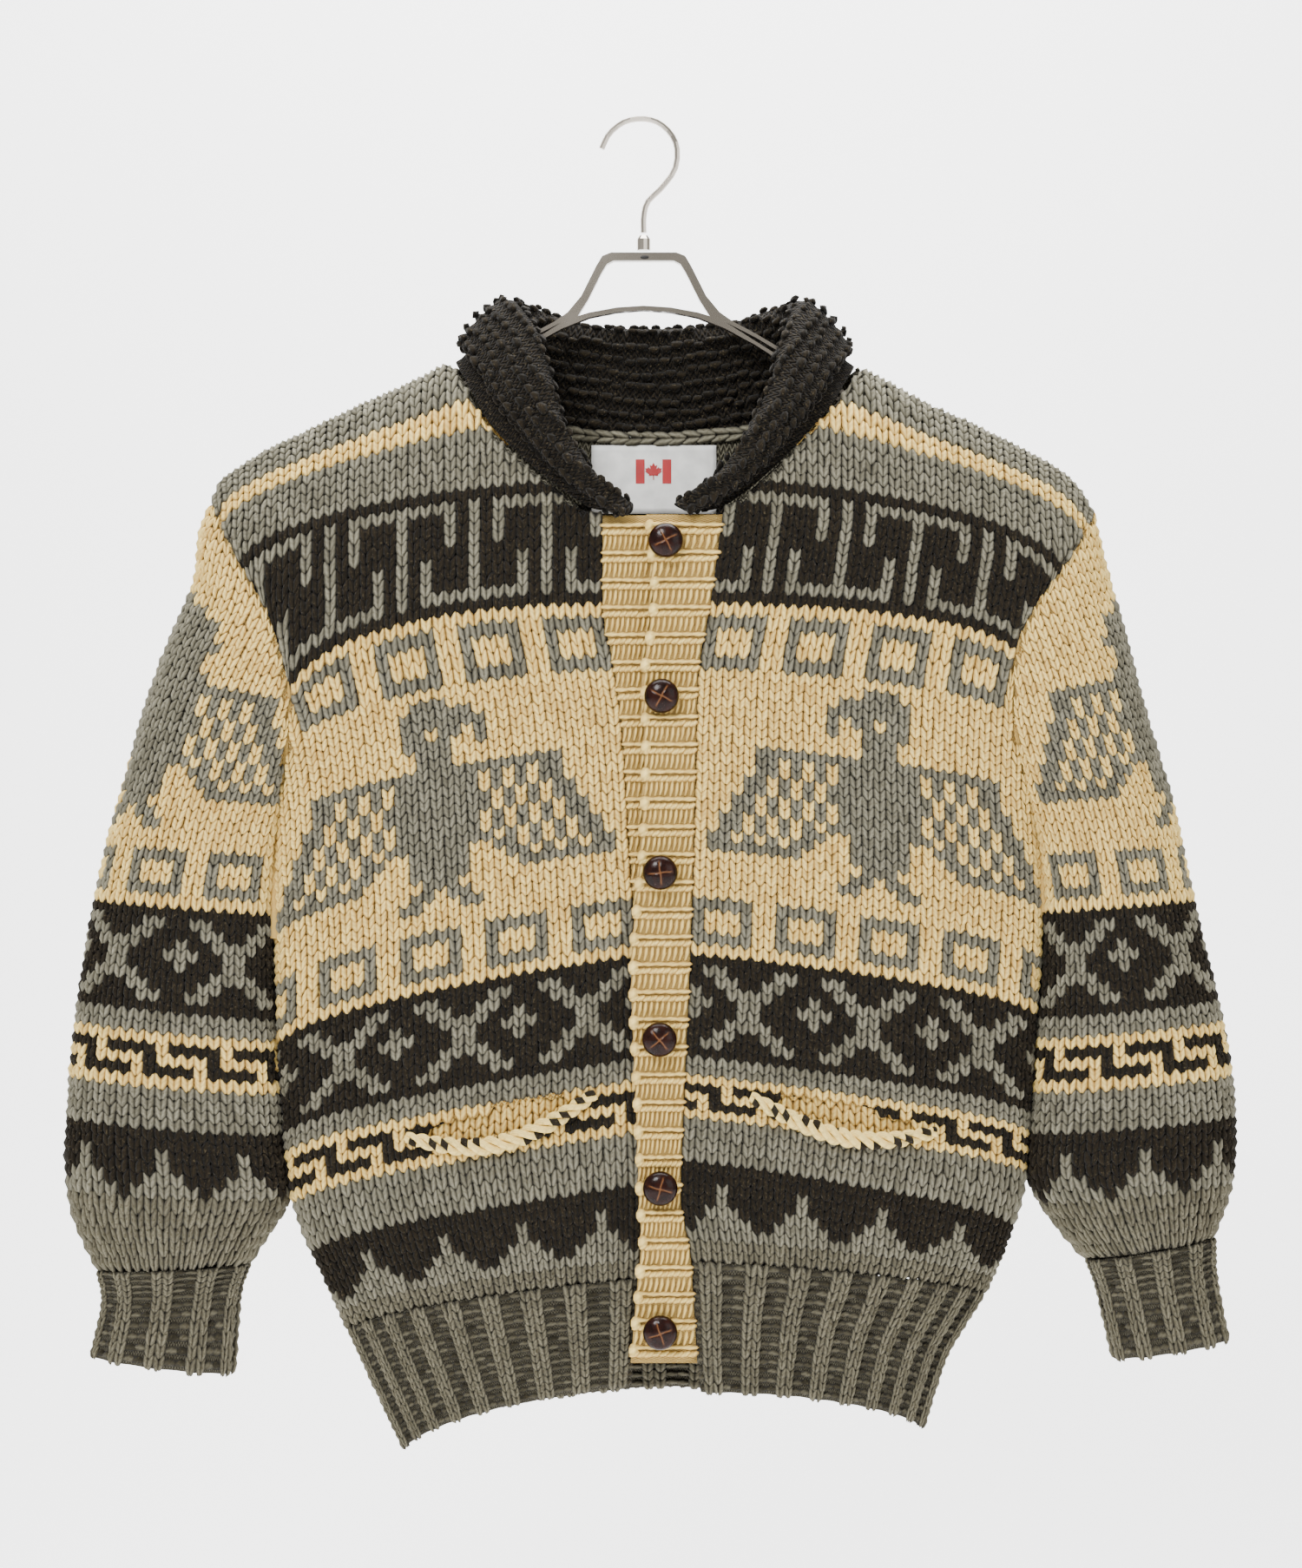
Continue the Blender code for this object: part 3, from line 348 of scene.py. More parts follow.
class Bench:
    """One material on the bench, to which nodes are added and linked.

    An input is a number, another node's socket, a screen colour of three numbers from
    0 to 255 or a scene-linear colour of four.
    """

    def __init__(self, name: str) -> None:
        """Start a material with a plain shader.

        Args:
            name: the material's name.
        """
        self.material = bpy.data.materials.new(name)
        self.material.use_nodes = True
        self.nodes = self.material.node_tree.nodes
        self.links = self.material.node_tree.links
        self.spot = self.add("ShaderNodeTexCoord").outputs["Object"]

    def join(self, node: bpy.types.Node, inputs: dict) -> None:
        """Set or link some inputs of a node.

        Args:
            node: the node.
            inputs: what each input is set or linked to, by its name or number.
        """
        for key, value in inputs.items():
            if isinstance(value, Socket):
                self.links.new(value, node.inputs[key])
            else:
                plain = not isinstance(value, tuple) or len(value) == 4
                node.inputs[key].default_value = value if plain else linear(value)

    def add(self, kind: str, inputs: Optional[dict] = None, **values: object) -> bpy.types.Node:
        """Add a node with its settings and inputs.

        Args:
            kind: kind of node.
            inputs: what its inputs are set or linked to.
            values: its settings.

        Returns:
            The node.
        """
        node = self.nodes.new(kind)
        for key, value in values.items():
            setattr(node, key, value)
        self.join(node, inputs or {})
        return node

    def math(self, operation: str, a: object, b: object = 0.0) -> Socket:
        """Result of one sum on two numbers or sockets."""
        return self.add("ShaderNodeMath", {0: a, 1: b}, operation=operation).outputs[0]

    def wave(self, value: object, rate: float) -> Socket:
        """Sine of a value times a rate."""
        return self.math("SINE", self.math("MULTIPLY", value, rate))

    def mix(self, share: object, a: object, b: object, way: str = "MIX") -> Socket:
        """Blend of two colours by a share."""
        inputs = {0: share, 6: a, 7: b}
        return self.add("ShaderNodeMix", inputs, data_type="RGBA", blend_type=way).outputs[2]

    def ramp(self, value: object, low: float, high: float) -> Socket:
        """Number from 0 to 1 as the value goes from low to high."""
        inputs = {0: value, 1: low, 2: high}
        return self.add("ShaderNodeMapRange", inputs, clamp=True).outputs[0]

    def noise(self, scale: float, detail: float = 2.0) -> Socket:
        """Cloudy noise in the piece."""
        inputs = {"Vector": self.spot, "Scale": scale, "Detail": detail}
        return self.add("ShaderNodeTexNoise", inputs).outputs["Fac"]

    def tone(self) -> Socket:
        """The lightness that a piece's points carry; on stitches it holds their random
        differences and painted shade.
        """
        return self.add("ShaderNodeAttribute", attribute_name="tone").outputs["Fac"]

    def split(self, place: object) -> Sequence[Socket]:
        """The numbers of a place, or of the flat layer that is named.

        Args:
            place: a place, or the layer's name.

        Returns:
            Three numbers.
        """
        if isinstance(place, str):
            place = self.add("ShaderNodeUVMap", uv_map=place).outputs[0]
        return self.add("ShaderNodeSeparateXYZ", {0: place}).outputs

    def finish(self, inputs: dict, *bump: object) -> Finish:
        """Set the shader's inputs, and a bump if its height, metres and strength are given.

        Args:
            inputs: what the shader's inputs are set or linked to.
            bump: height, depth in metres and strength of a bump, or nothing.

        Returns:
            The material.
        """
        if bump:
            values = dict(zip(("Height", "Distance", "Strength"), bump))
            inputs = {**inputs, "Normal": self.add("ShaderNodeBump", values).outputs[0]}
        self.join(self.nodes["Principled BSDF"], inputs)
        return self.material


@dataclass(frozen=True)
class Wool:
    """Hand-spun yarn, worked as stitches or as the plain ground under them."""

    name: str
    colour: Colour
    # colour that low tones mix towards: painted shade in the gaps and at the sides of the
    # stitches, and the darker end of their random differences
    shade: Colour
    fleck: Colour
    flecks: float
    SOFT = {"Roughness": 0.9, "Specular IOR Level": 0.08, "Sheen Weight": 0.04,
            "Sheen Roughness": 0.55}
    ROUND_CELL = 12.566

    def colours(self, bench: Bench, tone: object) -> Socket:
        """Colour of the fibres, mixed from the painted shade colour to the yarn's colour by the
        tone, with a share of flecks of another wool.
        """
        spots = bench.ramp(bench.noise(620.0, 3.0), 0.62 - self.flecks, 0.70)
        return bench.mix(spots, bench.mix(tone, self.shade, self.colour), self.fleck)

    def stitches(self) -> Finish:
        """Finish of the stitches: plies turn round each leg, with painted shade in the grooves
        between them.

        Returns:
            The material.
        """
        bench = Bench(self.name + "_stitches")
        around, down, _ = bench.split("strand")
        turn = bench.math("MULTIPLY", around, self.ROUND_CELL)
        ply = bench.math("SINE", bench.math("ADD", turn, bench.math("MULTIPLY", down, 15.0)))
        colour = self.colours(bench, bench.tone())
        # Painted shade: the grooves between the plies are darkened by multiplying with this grey.
        dark = bench.mix(1.0, colour, (0.80, 0.79, 0.77, 1.0), "MULTIPLY")
        shown = bench.mix(bench.ramp(ply, -1.0, -0.2), dark, colour)
        height = bench.math("ADD", bench.math("MULTIPLY", ply, 0.5), bench.noise(1500.0))
        return bench.finish({"Base Color": shown, **self.SOFT}, height, 0.0005, 0.7)

    def ground(self) -> Finish:
        """Finish of the shell: the bumps of the wrong side, in the cells of the grid, painted
        darker than the stitches and darkest between the bumps, as shade in the gaps.

        Returns:
            The material.
        """
        bench = Bench(self.name + "_ground")
        across, down, _ = bench.split("cells")
        offset = bench.math("MULTIPLY", bench.wave(across, self.ROUND_CELL), 0.18)
        purl = bench.wave(bench.math("ADD", down, offset), self.ROUND_CELL)
        # Painted shade: the ground's tone stays under 0.6 and is lowest between the bumps.
        colour = self.colours(bench, bench.ramp(purl, -1.0, 2.4))
        height = bench.math("ADD", purl, bench.noise(900.0, 3.0))
        return bench.finish({"Base Color": colour, **self.SOFT}, height, 0.0012, 0.8)


@dataclass(frozen=True)
class Leather:
    """Dark polished leather of the buttons, with tan lines in its creases, and finely grained."""

    name: str
    colour: Colour
    cloud: Colour
    crease: Colour

    def make(self) -> Finish:
        """The finish.

        Returns:
            The material.
        """
        bench = Bench(self.name)
        base = bench.mix(bench.ramp(bench.noise(160.0), 0.35, 0.65), self.colour, self.cloud)
        colour = bench.mix(bench.tone(), self.crease, base)
        grain = bench.add("ShaderNodeTexVoronoi", {"Vector": bench.spot, "Scale": 900.0})
        return bench.finish({"Base Color": colour, "Roughness": 0.2,
                             "Specular IOR Level": 0.16}, grain.outputs["Distance"], 0.0002, 0.25)


@dataclass(frozen=True)
class Satin:
    """Woven satin ribbon with fine level threads and a soft gleam."""

    name: str
    colour: Colour

    def make(self) -> Finish:
        """The finish.

        Returns:
            The material.
        """
        bench = Bench(self.name)
        x, _, z = bench.split(bench.spot)
        height = bench.math("ADD", bench.wave(z, 9000.0), bench.wave(x, 12000.0))
        cloud = bench.ramp(bench.noise(90.0), 0.3, 0.7)
        colour = bench.mix(cloud, dimmed(self.colour), self.colour)
        return bench.finish({"Base Color": colour, "Roughness": 0.42, "Sheen Weight": 0.3},
                            height, 0.00006, 0.5)


@dataclass(frozen=True)
class Metal:
    """Bright plated surface, finely scratched."""

    name: str
    colour: Colour
    roughness: float
    metallic: float = 1.0

    def make(self) -> Finish:
        """The finish.

        Returns:
            The material.
        """
        bench = Bench(self.name)
        smear = bench.ramp(bench.noise(14.0), 0.3, 0.75)
        rough = bench.add("ShaderNodeMapRange", {0: smear, 3: self.roughness - 0.05,
                                                 4: self.roughness + 0.12}).outputs[0]
        colour = bench.mix(smear, self.colour, dimmed(self.colour))
        return bench.finish({"Base Color": colour, "Roughness": rough,
                             "Metallic": self.metallic}, bench.noise(2500.0), 0.00001, 0.1)


class Finishes:
    """Every finish of the cardigan and its hanger, each made once."""

    # Each wool: its colour, its painted shade colour, the colour of its flecks and their share.
    WOOLS = (Wool("grey_wool", (139, 135, 117), (38, 35, 25), (88, 84, 68), 0.05),
             Wool("cream_wool", (253, 226, 139), (154, 112, 50), (230, 198, 118), -0.03),
             Wool("dark_wool", (38, 32, 22), (5, 4, 3), (68, 60, 44), 0.02),
             Wool("heather_wool", (124, 119, 100), (38, 35, 26), (66, 61, 46), 0.09))

    def __init__(self) -> None:
        """Make the finishes."""
        self.stitches = [wool.stitches() for wool in self.WOOLS]
        self.ground = [wool.ground() for wool in self.WOOLS]
        self.leather = Leather("brown_leather", (34, 12, 7), (18, 6, 4), (112, 72, 42)).make()
        self.satin = Satin("white_satin", (244, 244, 240)).make()
        self.flag_red = Satin("flag_red", (178, 8, 18)).make()
        self.smoky = Metal("smoky_metal", (150, 143, 132), 0.2, 0.95).make()
        self.nickel = Metal("nickel_wire", (196, 188, 176), 0.12).make()
        # Painted shade: the dark finish of the patch in the hanger's top bar.
        self.hole_shade = Metal("painted_hole_shade", (24, 20, 18), 0.5, 0.3).make()


# ------------------------------------------------------------------ stitches
def leg(x: Array, y: Array, z: Array) -> tuple[Array, Array, Array]:
    """Right leg of a stitch, bent from a ball, in shares of its cell.

    Args:
        x: the ball's points across.
        y: the same outwards.
        z: the same along its pole, which becomes the leg.

    Returns:
        The bent points across, down and outwards.
    """
    t = (1.0 - z) / 2.0
    lift = 0.26 * np.sin(np.pi * t ** 1.25) ** 0.65
    return 0.43 - 0.385 * t + x * 0.25, -0.30 + 1.55 * t + x * 0.16, lift + y * 0.30


# Bumps bent from a ball like the leg: of a purl stitch, of a smooth strand, a slanted
# turn and an upright strand of a band, of a rolled edge's knot and of garter stitch.
BUMPS = {
    "purl": lambda x, y, z: (0.62 * np.sin(z * np.pi / 2.0),
                             x * 0.36 + 0.5 - 0.12 * (1.0 - z * z), y * 0.24 + 0.05),
    "cord": lambda x, y, z: (z * 0.8, x * 0.5 + 0.5, y * 0.5),
    "rope": lambda x, y, z: (z * 0.8 - x * 0.3, z * 0.36 + x * 0.36 + 0.5, y * 0.5),
    "strand": lambda x, y, z: (x * 0.42 + z * 0.3 + z * z * 0.25, z * 0.62 + 0.5, y * 0.45),
    "knob": lambda x, y, z: (x * 0.5, z * 0.42 + 0.5, y * 0.5),
    "garter": lambda x, y, z: (z * 0.5, x * 0.34 + z * z * 0.16 + 0.44, y * 0.33),
}


@dataclass(frozen=True)
class Bead:
    """A small closed shape that is repeated: points, triangles, layout, and painted shading."""

    points: Array
    faces: Array
    layout: Array
    painted_shading: Array

    @staticmethod
    def ball(segments: int, rings: int) -> "Bead":
        """A unit ball with its pole along z.

        Args:
            segments: faces round it.
            rings: faces from pole to pole.

        Returns:
            The bead.
        """
        made = sphere(segments, rings)
        with editing(made):
            bpy.ops.mesh.quads_convert_to_tris()
        mesh = made.data
        points = np.array([v.co for v in mesh.vertices], float)
        faces = np.array([p.vertices for p in mesh.polygons], int)
        layout = np.array([d.uv for d in mesh.uv_layers.active.data], float)
        bpy.data.objects.remove(made, do_unlink=True)
        # Painted shade: each bead's outward top is lit, and its sides, ends and underside are
        # darker, as shade between the stitches.
        return Bead(points, faces, np.clip(layout.reshape(len(faces), 3, 2), 0.0, 1.0),
                    np.clip(0.2 + 0.8 * points[:, 1], 0.0, 1.0))

    def shaped(self, change: Callable, hand: int = 1) -> "Bead":
        """A bent copy.

        Args:
            change: gives the new x, y and z of the old ones.
            hand: 1, or -1 for the mirror image.

        Returns:
            The new bead.
        """
        u, v, w = change(*self.points.T)
        return Bead(np.stack((hand * u, v, w), axis=-1), self.faces[:, ::hand],
                    self.layout[:, ::hand], self.painted_shading)


class Beads:
    """The legs of a stocking stitch, fine and plain, and every bump, each made once."""

    def __init__(self) -> None:
        """Model the beads."""
        fine, plain = Bead.ball(4, 4), Bead.ball(4, 3)
        self.legs, self.plain_legs = ([ball.shaped(leg, hand) for hand in (-1, 1)]
                                      for ball in (fine, plain))
        self.bumps = {name: fine.shaped(change) for name, change in BUMPS.items()}
        self.bumps["knob"] = Bead.ball(6, 5).shaped(BUMPS["knob"])


@dataclass
class Frames:
    """Places of stitches: their middles and the directions of their cells, in mm."""

    centre: Array
    across: Array
    down: Array
    out: Array

    def pick(self, mask: Array) -> "Frames":
        """The frames that a mask picks."""
        return Frames(self.centre[mask], self.across[mask], self.down[mask], self.out[mask])


class Knitting:
    """Joined mesh of many beads, each on its own stitch."""

    def __init__(self, kit: "Kit", name: str, seed: int) -> None:
        """Start an empty piece of knitting.

        Args:
            kit: the beads and the yarns' finishes.
            name: the piece's name.
            seed: start of its small random differences.
        """
        self.kit, self.name = kit, name
        self.random = np.random.default_rng(seed)
        self.points, self.faces, self.layouts, self.yarns, self.tones = [], [], [], [], []
        self.count = 0

    def add(self, bead: Bead, frames: Frames, yarn: Array, tone: Array,
            wobble: float = 0.03) -> None:
        """Put a bead on every frame.

        Args:
            bead: the shape, in shares of the cell from its top middle.
            frames: the stitches.
            yarn: yarn number of each, or of all.
            tone: lightness of each, 0 to 1.
            wobble: size of the random differences.
        """
        number = len(frames.centre)
        if not number:
            return
        size = 1.0 + self.random.normal(0.0, wobble, (number, 1, 1))
        slip = self.random.normal(0.0, wobble, (number, 1, 3))
        local = bead.points[None] * size + slip
        local[..., 1] -= 0.5
        points = (frames.centre[:, None] + frames.across[:, None] * local[..., 0:1]
                  + frames.down[:, None] * local[..., 1:2]
                  + frames.out[:, None] * local[..., 2:3])
        start = self.count + np.arange(number) * len(bead.points)
        self.points.append(points.reshape(-1, 3))
        self.faces.append((bead.faces[None] + start[:, None, None]).reshape(-1, 3))
        self.layouts.append(np.repeat(bead.layout[None], number, axis=0))
        self.yarns.append(np.repeat(np.broadcast_to(yarn, number), len(bead.faces)))
        # Each point's tone is its stitch's random tone times the bead's painted shading.
        self.tones.append((tone[:, None] * bead.painted_shading[None]).ravel())
        self.count += number * len(bead.points)

    def stitches(self, frames: Frames, yarn: Array, plain: bool = False) -> None:
        """Put a whole stitch, two fine or plain legs, on every frame.

        Args:
            frames: the stitches.
            yarn: yarn number of each, or of all.
            plain: whether the legs have fewer faces.
        """
        tone = self.random.uniform(0.65, 1.0, len(frames.centre))
        for bead in self.kit.beads.plain_legs if plain else self.kit.beads.legs:
            change = self.random.normal(0.0, 0.08, len(tone))
            self.add(bead, frames, yarn, np.clip(tone + change, 0.0, 1.0))

    def bumps(self, kind: str, frames: Frames, yarn: Yarn, tones: tuple[float, float],
              wobble: float = 0.03) -> None:
        """Put a bump of one yarn on every frame, its lightness between two tones."""
        tone = self.random.uniform(*tones, len(frames.centre))
        self.add(self.kit.beads.bumps[kind], frames, yarn, tone, wobble)

    def finish(self, slot: str) -> Piece:
        """Join the beads in one piece and dress it.

        Args:
            slot: the record's slot.

        Returns:
            The piece.
        """
        wide = math.ceil(math.sqrt(sum(map(len, self.layouts))))
        cells, done = [], 0
        for layout in self.layouts:
            number = np.arange(done, done + len(layout))
            done += len(layout)
            corner = np.stack((number % wide, number // wide), axis=-1)[:, None, None]
            cells.append(((layout * 0.9 + 0.05 + corner) / wide).reshape(-1, 2))
        strand = np.concatenate([layout.reshape(-1, 2) for layout in self.layouts])
        piece = mesh_piece(self.name, np.concatenate(self.points), np.concatenate(self.faces),
                           np.concatenate(self.yarns), np.concatenate(self.tones),
                           OFBake=np.concatenate(cells), strand=strand)
        return dress(piece, slot, self.kit.finishes.stitches)


@dataclass
class Grid:
    """Corners of the stitches of one knitted piece, rows down and columns across, in mm."""

    corners: Array
    column: Array
    row: Array
    THICKEST = 9.5  # longest outward direction of a stitch
    SLIVER = 0.03  # share of the median cell under which a cell of the shell is left out

    @staticmethod
    def plain(corners: Array, outward: float) -> "Grid":
        """Grid of plainly numbered cells that faces forwards (-1) or backwards (1)."""
        rows, columns = corners.shape[:2]
        return Grid(corners, np.arange(columns - 1), np.arange(rows - 1)).facing(outward)

    def flipped(self) -> "Grid":
        """The grid with its columns in the other order."""
        return Grid(self.corners[:, ::-1].copy(), self.column[::-1].copy(), self.row)

    def facing(self, outward: float) -> "Grid":
        """The grid, flipped if its cells face the wrong way in y."""
        out = self.frames().out[self.areas() > 1.0]
        return self if out[:, 1].mean() * outward > 0.0 else self.flipped()

    def frames(self, lift: float = 0.0) -> Frames:
        """The places of all its stitches, in the shape (rows, columns).

        Args:
            lift: how far they stand out from the corners' surface.

        Returns:
            Their frames.
        """
        a, b = self.corners[:-1, :-1], self.corners[:-1, 1:]
        c, d = self.corners[1:, :-1], self.corners[1:, 1:]
        across = ((b - a) + (d - c)) / 2.0
        down = ((c - a) + (d - b)) / 2.0
        out = unit(np.cross(across, down))
        centre = (a + b + c + d) / 4.0 + out * lift
        scale = np.sqrt(self.areas())[..., None]
        return Frames(centre, across, down, out * np.minimum(scale, self.THICKEST))

    def areas(self) -> Array:
        """Area of each cell.

        Returns:
            Areas in the shape (rows, columns).
        """
        first = self.corners[1:, 1:] - self.corners[:-1, :-1]
        second = self.corners[1:, :-1] - self.corners[:-1, 1:]
        return np.linalg.norm(np.cross(first, second), axis=-1) / 2.0

    def normals(self, ring: bool = False) -> Array:
        """Outward direction at each corner; a ring's first and last are the same.

        Args:
            ring: whether the first and the last column's corners meet.

        Returns:
            Directions in the corners' shape.
        """
        normals = unit(np.cross(np.gradient(self.corners, axis=1),
                                np.gradient(self.corners, axis=0)))
        if ring:
            normals[:, 0] = normals[:, -1] = unit(normals[:, 0] + normals[:, -1])
        return normals

    def shell(self, name: str, yarn: Array, slot: str, finishes: Sequence[Finish],
              nodes: Sequence[str] = (), depth: float = WALL, sunk: float = 1.2,
              ring: bool = False) -> Piece:
        """Plain wall under the stitches.

        Args:
            name: the piece's name, without its ending.
            yarn: yarn number of each cell, or of all.
            slot: the record's slot.
            finishes: its finishes.
            nodes: solids it stands for, if not the one of its name.
            depth: of its inner face under the corners.
            sunk: of its outer face under the corners.
            ring: whether the first and the last column's corners meet.

        Returns:
            The piece, dressed.
        """
        rows, columns = self.corners.shape[:2]
        width = columns - 1 if ring else columns
        points = (self.corners - self.normals(ring) * sunk)[:, :width].reshape(-1, 3)
        faces, place = quads(rows - 1, columns - 1, width)
        areas = self.areas()
        kept = (areas > self.SLIVER * np.median(areas)).ravel()
        yarn = np.broadcast_to(yarn, areas.shape).ravel()
        piece = mesh_piece(name + "_cloth", points, faces[kept], yarn[kept],
                           cells=place[kept][..., ::-1])
        with editing(piece):
            bpy.ops.mesh.remove_doubles(threshold=0.00002)
            bpy.ops.mesh.delete_loose()
        apply_modifier(piece, "SOLIDIFY", thickness=(depth - sunk) * MM, offset=-1.0,
                       use_even_offset=False)
        return dress(piece, slot, finishes, nodes or [name])


# ------------------------------------------------------------------ colourwork
class Charts:
    """Colourwork of the body and the sleeves: rows from the top, then columns.

    Each motif has a method that tells its figure from its ground.
    """

    MOTIFS = {"fret": (Yarn.GREY, Yarn.DARK), "squares": (Yarn.GREY, Yarn.CREAM),
              "crosses": (Yarn.GREY, Yarn.DARK), "key": (Yarn.DARK, Yarn.CREAM),
              "teeth": (Yarn.GREY, Yarn.DARK), "eagle": (Yarn.GREY, Yarn.CREAM)}
    LOWER = ((1, "CREAM"), (1, "DARK"), (8, "crosses"), (1, "DARK"), (2, "GREY"), (1, "CREAM"),
             (3, "key"), (1, "CREAM"), (4, "GREY"), (2, "DARK"), (4, "teeth"))
    BODY = ((5, "GREY"), (2, "CREAM"), (5, "GREY"), (1, "DARK"), (9, "fret"), (1, "DARK"),
            (1, "CREAM"), (4, "squares"), (24, "eagle"), (4, "squares"), *LOWER, (1, "GREY"))
    SLEEVE = ((8, "CREAM"), (24, "eagle"), (4, "squares"), *LOWER)
    ARMS = ((1, 2, 7, 8), (2, 3, 6, 7), (3, 4, 5, 6), (4, 5))
    # Spans of columns in the rows of the head, the neck, the legs and the claws.
    SPANS = {1: ((-1, 1),), 2: ((-2, 3),), 3: ((-2, 4),), 4: ((-2, -1), (1, 2), (4, 4)),
             5: ((-2, 1), (4, 4)), 6: ((-1, 1),), 7: ((-1, 1),), 19: ((-1, 1),),
             20: ((-2, -1), (1, 2)), 21: ((-3, -2), (2, 3))}
    TURNED_HEAD = (-2, 0, 2, 2, 3, 2, 2, 3)
    FIRST_WING, LAST_WING = 8, 18

    @staticmethod
    def fret(row: int, u: int) -> bool:
        """Stepped key, 12 wide.

        Args:
            row: row of the motif.
            u: column.

        Returns:
            Whether the stitch is part of the figure.
        """
        u %= 12
        return (u in (0, 6) or (row == 0 and u not in (5, 7)) or (u in (4, 8) and row <= 3)
                or (row == 8 and 2 <= u <= 10) or (u in (2, 10) and row >= 5))

    @staticmethod
    def squares(row: int, u: int) -> bool:
        """Open squares, 7 wide."""
        u %= 7
        return u <= 4 and (row in (0, 3) or u in (0, 4))

    @staticmethod
    def crosses(row: int, u: int) -> bool:
        """Crosses, 10 wide, with small diamonds between them.

        Args:
            row: row of the motif.
            u: column.

        Returns:
            Whether the stitch is part of the figure.
        """
        u %= 10
        diamond = (row in (2, 4) and u == 0) or (row == 3 and u in (9, 0, 1))
        return u in Charts.ARMS[min(row, 7 - row)] or diamond

    @staticmethod
    def key(row: int, u: int) -> bool:
        """Running key, 5 wide."""
        u %= 5
        return (row == 0 and u <= 3) or (row == 1 and u == 3) or (row == 2 and u != 2)

    @staticmethod
    def teeth(row: int, u: int, period: int = 7) -> bool:
        """Ground between teeth that hang down."""
        middle = period // 2
        return abs(u % period - middle) <= (0, 0, 1, 2)[row]

    @staticmethod
    def eagle(row: int, d: int, away: bool = False) -> bool:
        """Spread eagle with its head turned to larger d.

        Args:
            row: row of the motif, 0 to 23.
            d: columns from its middle.
            away: whether its head is turned to smaller d, with a broad neck.

        Returns:
            Whether the stitch is part of the bird.
        """
        if away and row < Charts.FIRST_WING:
            return -8 <= d <= Charts.TURNED_HEAD[row]
        if not Charts.FIRST_WING <= row <= Charts.LAST_WING:
            return any(low <= d <= high for low, high in Charts.SPANS.get(row, ()))
        a = abs(d)
        edge = 10 + (row - 8) * 0.45
        floor = min(15 + max(0, a - 3) * 0.75, Charts.LAST_WING)
        if a <= (3 if 10 <= row < 16 else 2):
            return True
        border = row == Charts.FIRST_WING or a > edge - 1.2 or row > floor - 1
        seed = (a + (row - 9) // 2) % 2 == 0
        return a <= edge and row <= floor and (border or not seed)

    @classmethod
    def find(cls, bands: Sequence, row: int, places: dict) -> Yarn:
        """Yarn of one stitch.

        Args:
            bands: height of each band, with its motif or its plain yarn.
            row: the stitch's row.
            places: what each motif is asked with after the row.

        Returns:
            The yarn; below the bands it is heather.
        """
        for height, name in bands:
            if row < height:
                if name not in cls.MOTIFS:
                    return Yarn[name]
                figure, ground = cls.MOTIFS[name]
                return figure if getattr(cls, name)(row, *places[name]) else ground
            row -= height
        return Yarn.HEATHER

    @classmethod
    def body(cls, row: int, c: int, side: Side) -> Yarn:
        """Yarn of a stitch of a front: c is counted outwards from the band.

        Args:
            row: row from the shoulder.
            c: column.
            side: half of the body.

        Returns:
            The yarn.
        """
        left = side is Side.LEFT
        return cls.find(cls.BODY, row, {
            "fret": (c - 4,), "squares": (c,), "eagle": (15 - c,), "teeth": (c,),
            "crosses": (c + left,), "key": (3 - c if left else c + 1,)})

    @classmethod
    def sleeve(cls, row: int, c: int, side: Side) -> Yarn:
        """Yarn of a stitch of a sleeve: c is counted from its outermost line to the front.

        Args:
            row: row from the shoulder.
            c: column.
            side: which sleeve.

        Returns:
            The yarn.
        """
        left = side is Side.LEFT
        return cls.find(cls.SLEEVE, row, {
            "squares": (c + 2,), "eagle": (c - 3 if left else c - 1, True), "crosses": (c,),
            "key": (c if left else -c,), "teeth": (c, 6)})


# ------------------------------------------------------------------ body surface
@dataclass(frozen=True)
class HalfTables:
    """Tables of one half of the body, as its solids have them."""

    rows: Table  # z at the middle and at the side, and the power of each row's bend
    shoulder: Table
    neck: Table
    edge: Table
    side: Table
    reach: Table


LEFT_HALF = HalfTables(
    rows=((0, -160, -281, 1.3), (5.5, -222, -300, 1.3), (11.5, -268, -326, 1.6),
          (24, -358, -421, 2), (30, -405, -462, 1.5), (38, -462, -522, 1.2),
          (58, -613, -679, 1.1), (68, -687, -745, 1), (76, -744, -799, 1),
          (80.5, -778, -831, 1.05), (89.5, -846, -889, 1.2), (104, -926, -978, 1.35)),
    shoulder=((-30, -152), (-90, -160), (-138, -177), (-168, -192), (-210, -211), (-242, -226.5),
              (-274, -241), (-295, -253.5), (-312, -266), (-318, -281)),
    neck=((-20, -292), (-40, -291), (-66, -272), (-92, -250), (-114, -226), (-129, -198),
          (-139, -178)),
    edge=((-290, -29.5), (-358, -29.5), (-400, -22), (-450, -15), (-530, -10), (-610, -5),
          (-700, -3), (-800, -1), (-860, -3), (-930, -8)),
    side=((-281, -318), (-320, -299), (-342, -285.5), (-364, -273), (-387, -265), (-428, -257.5),
          (-470, -260.5), (-522, -271), (-582, -270), (-680, -267.5), (-774, -260.5),
          (-806, -253), (-846, -236), (-876, -223), (-916, -205), (-978, -176)),
    reach=((-281, -319), (-340, -326), (-390, -312), (-428, -292), (-470, -279), (-522, -271)))

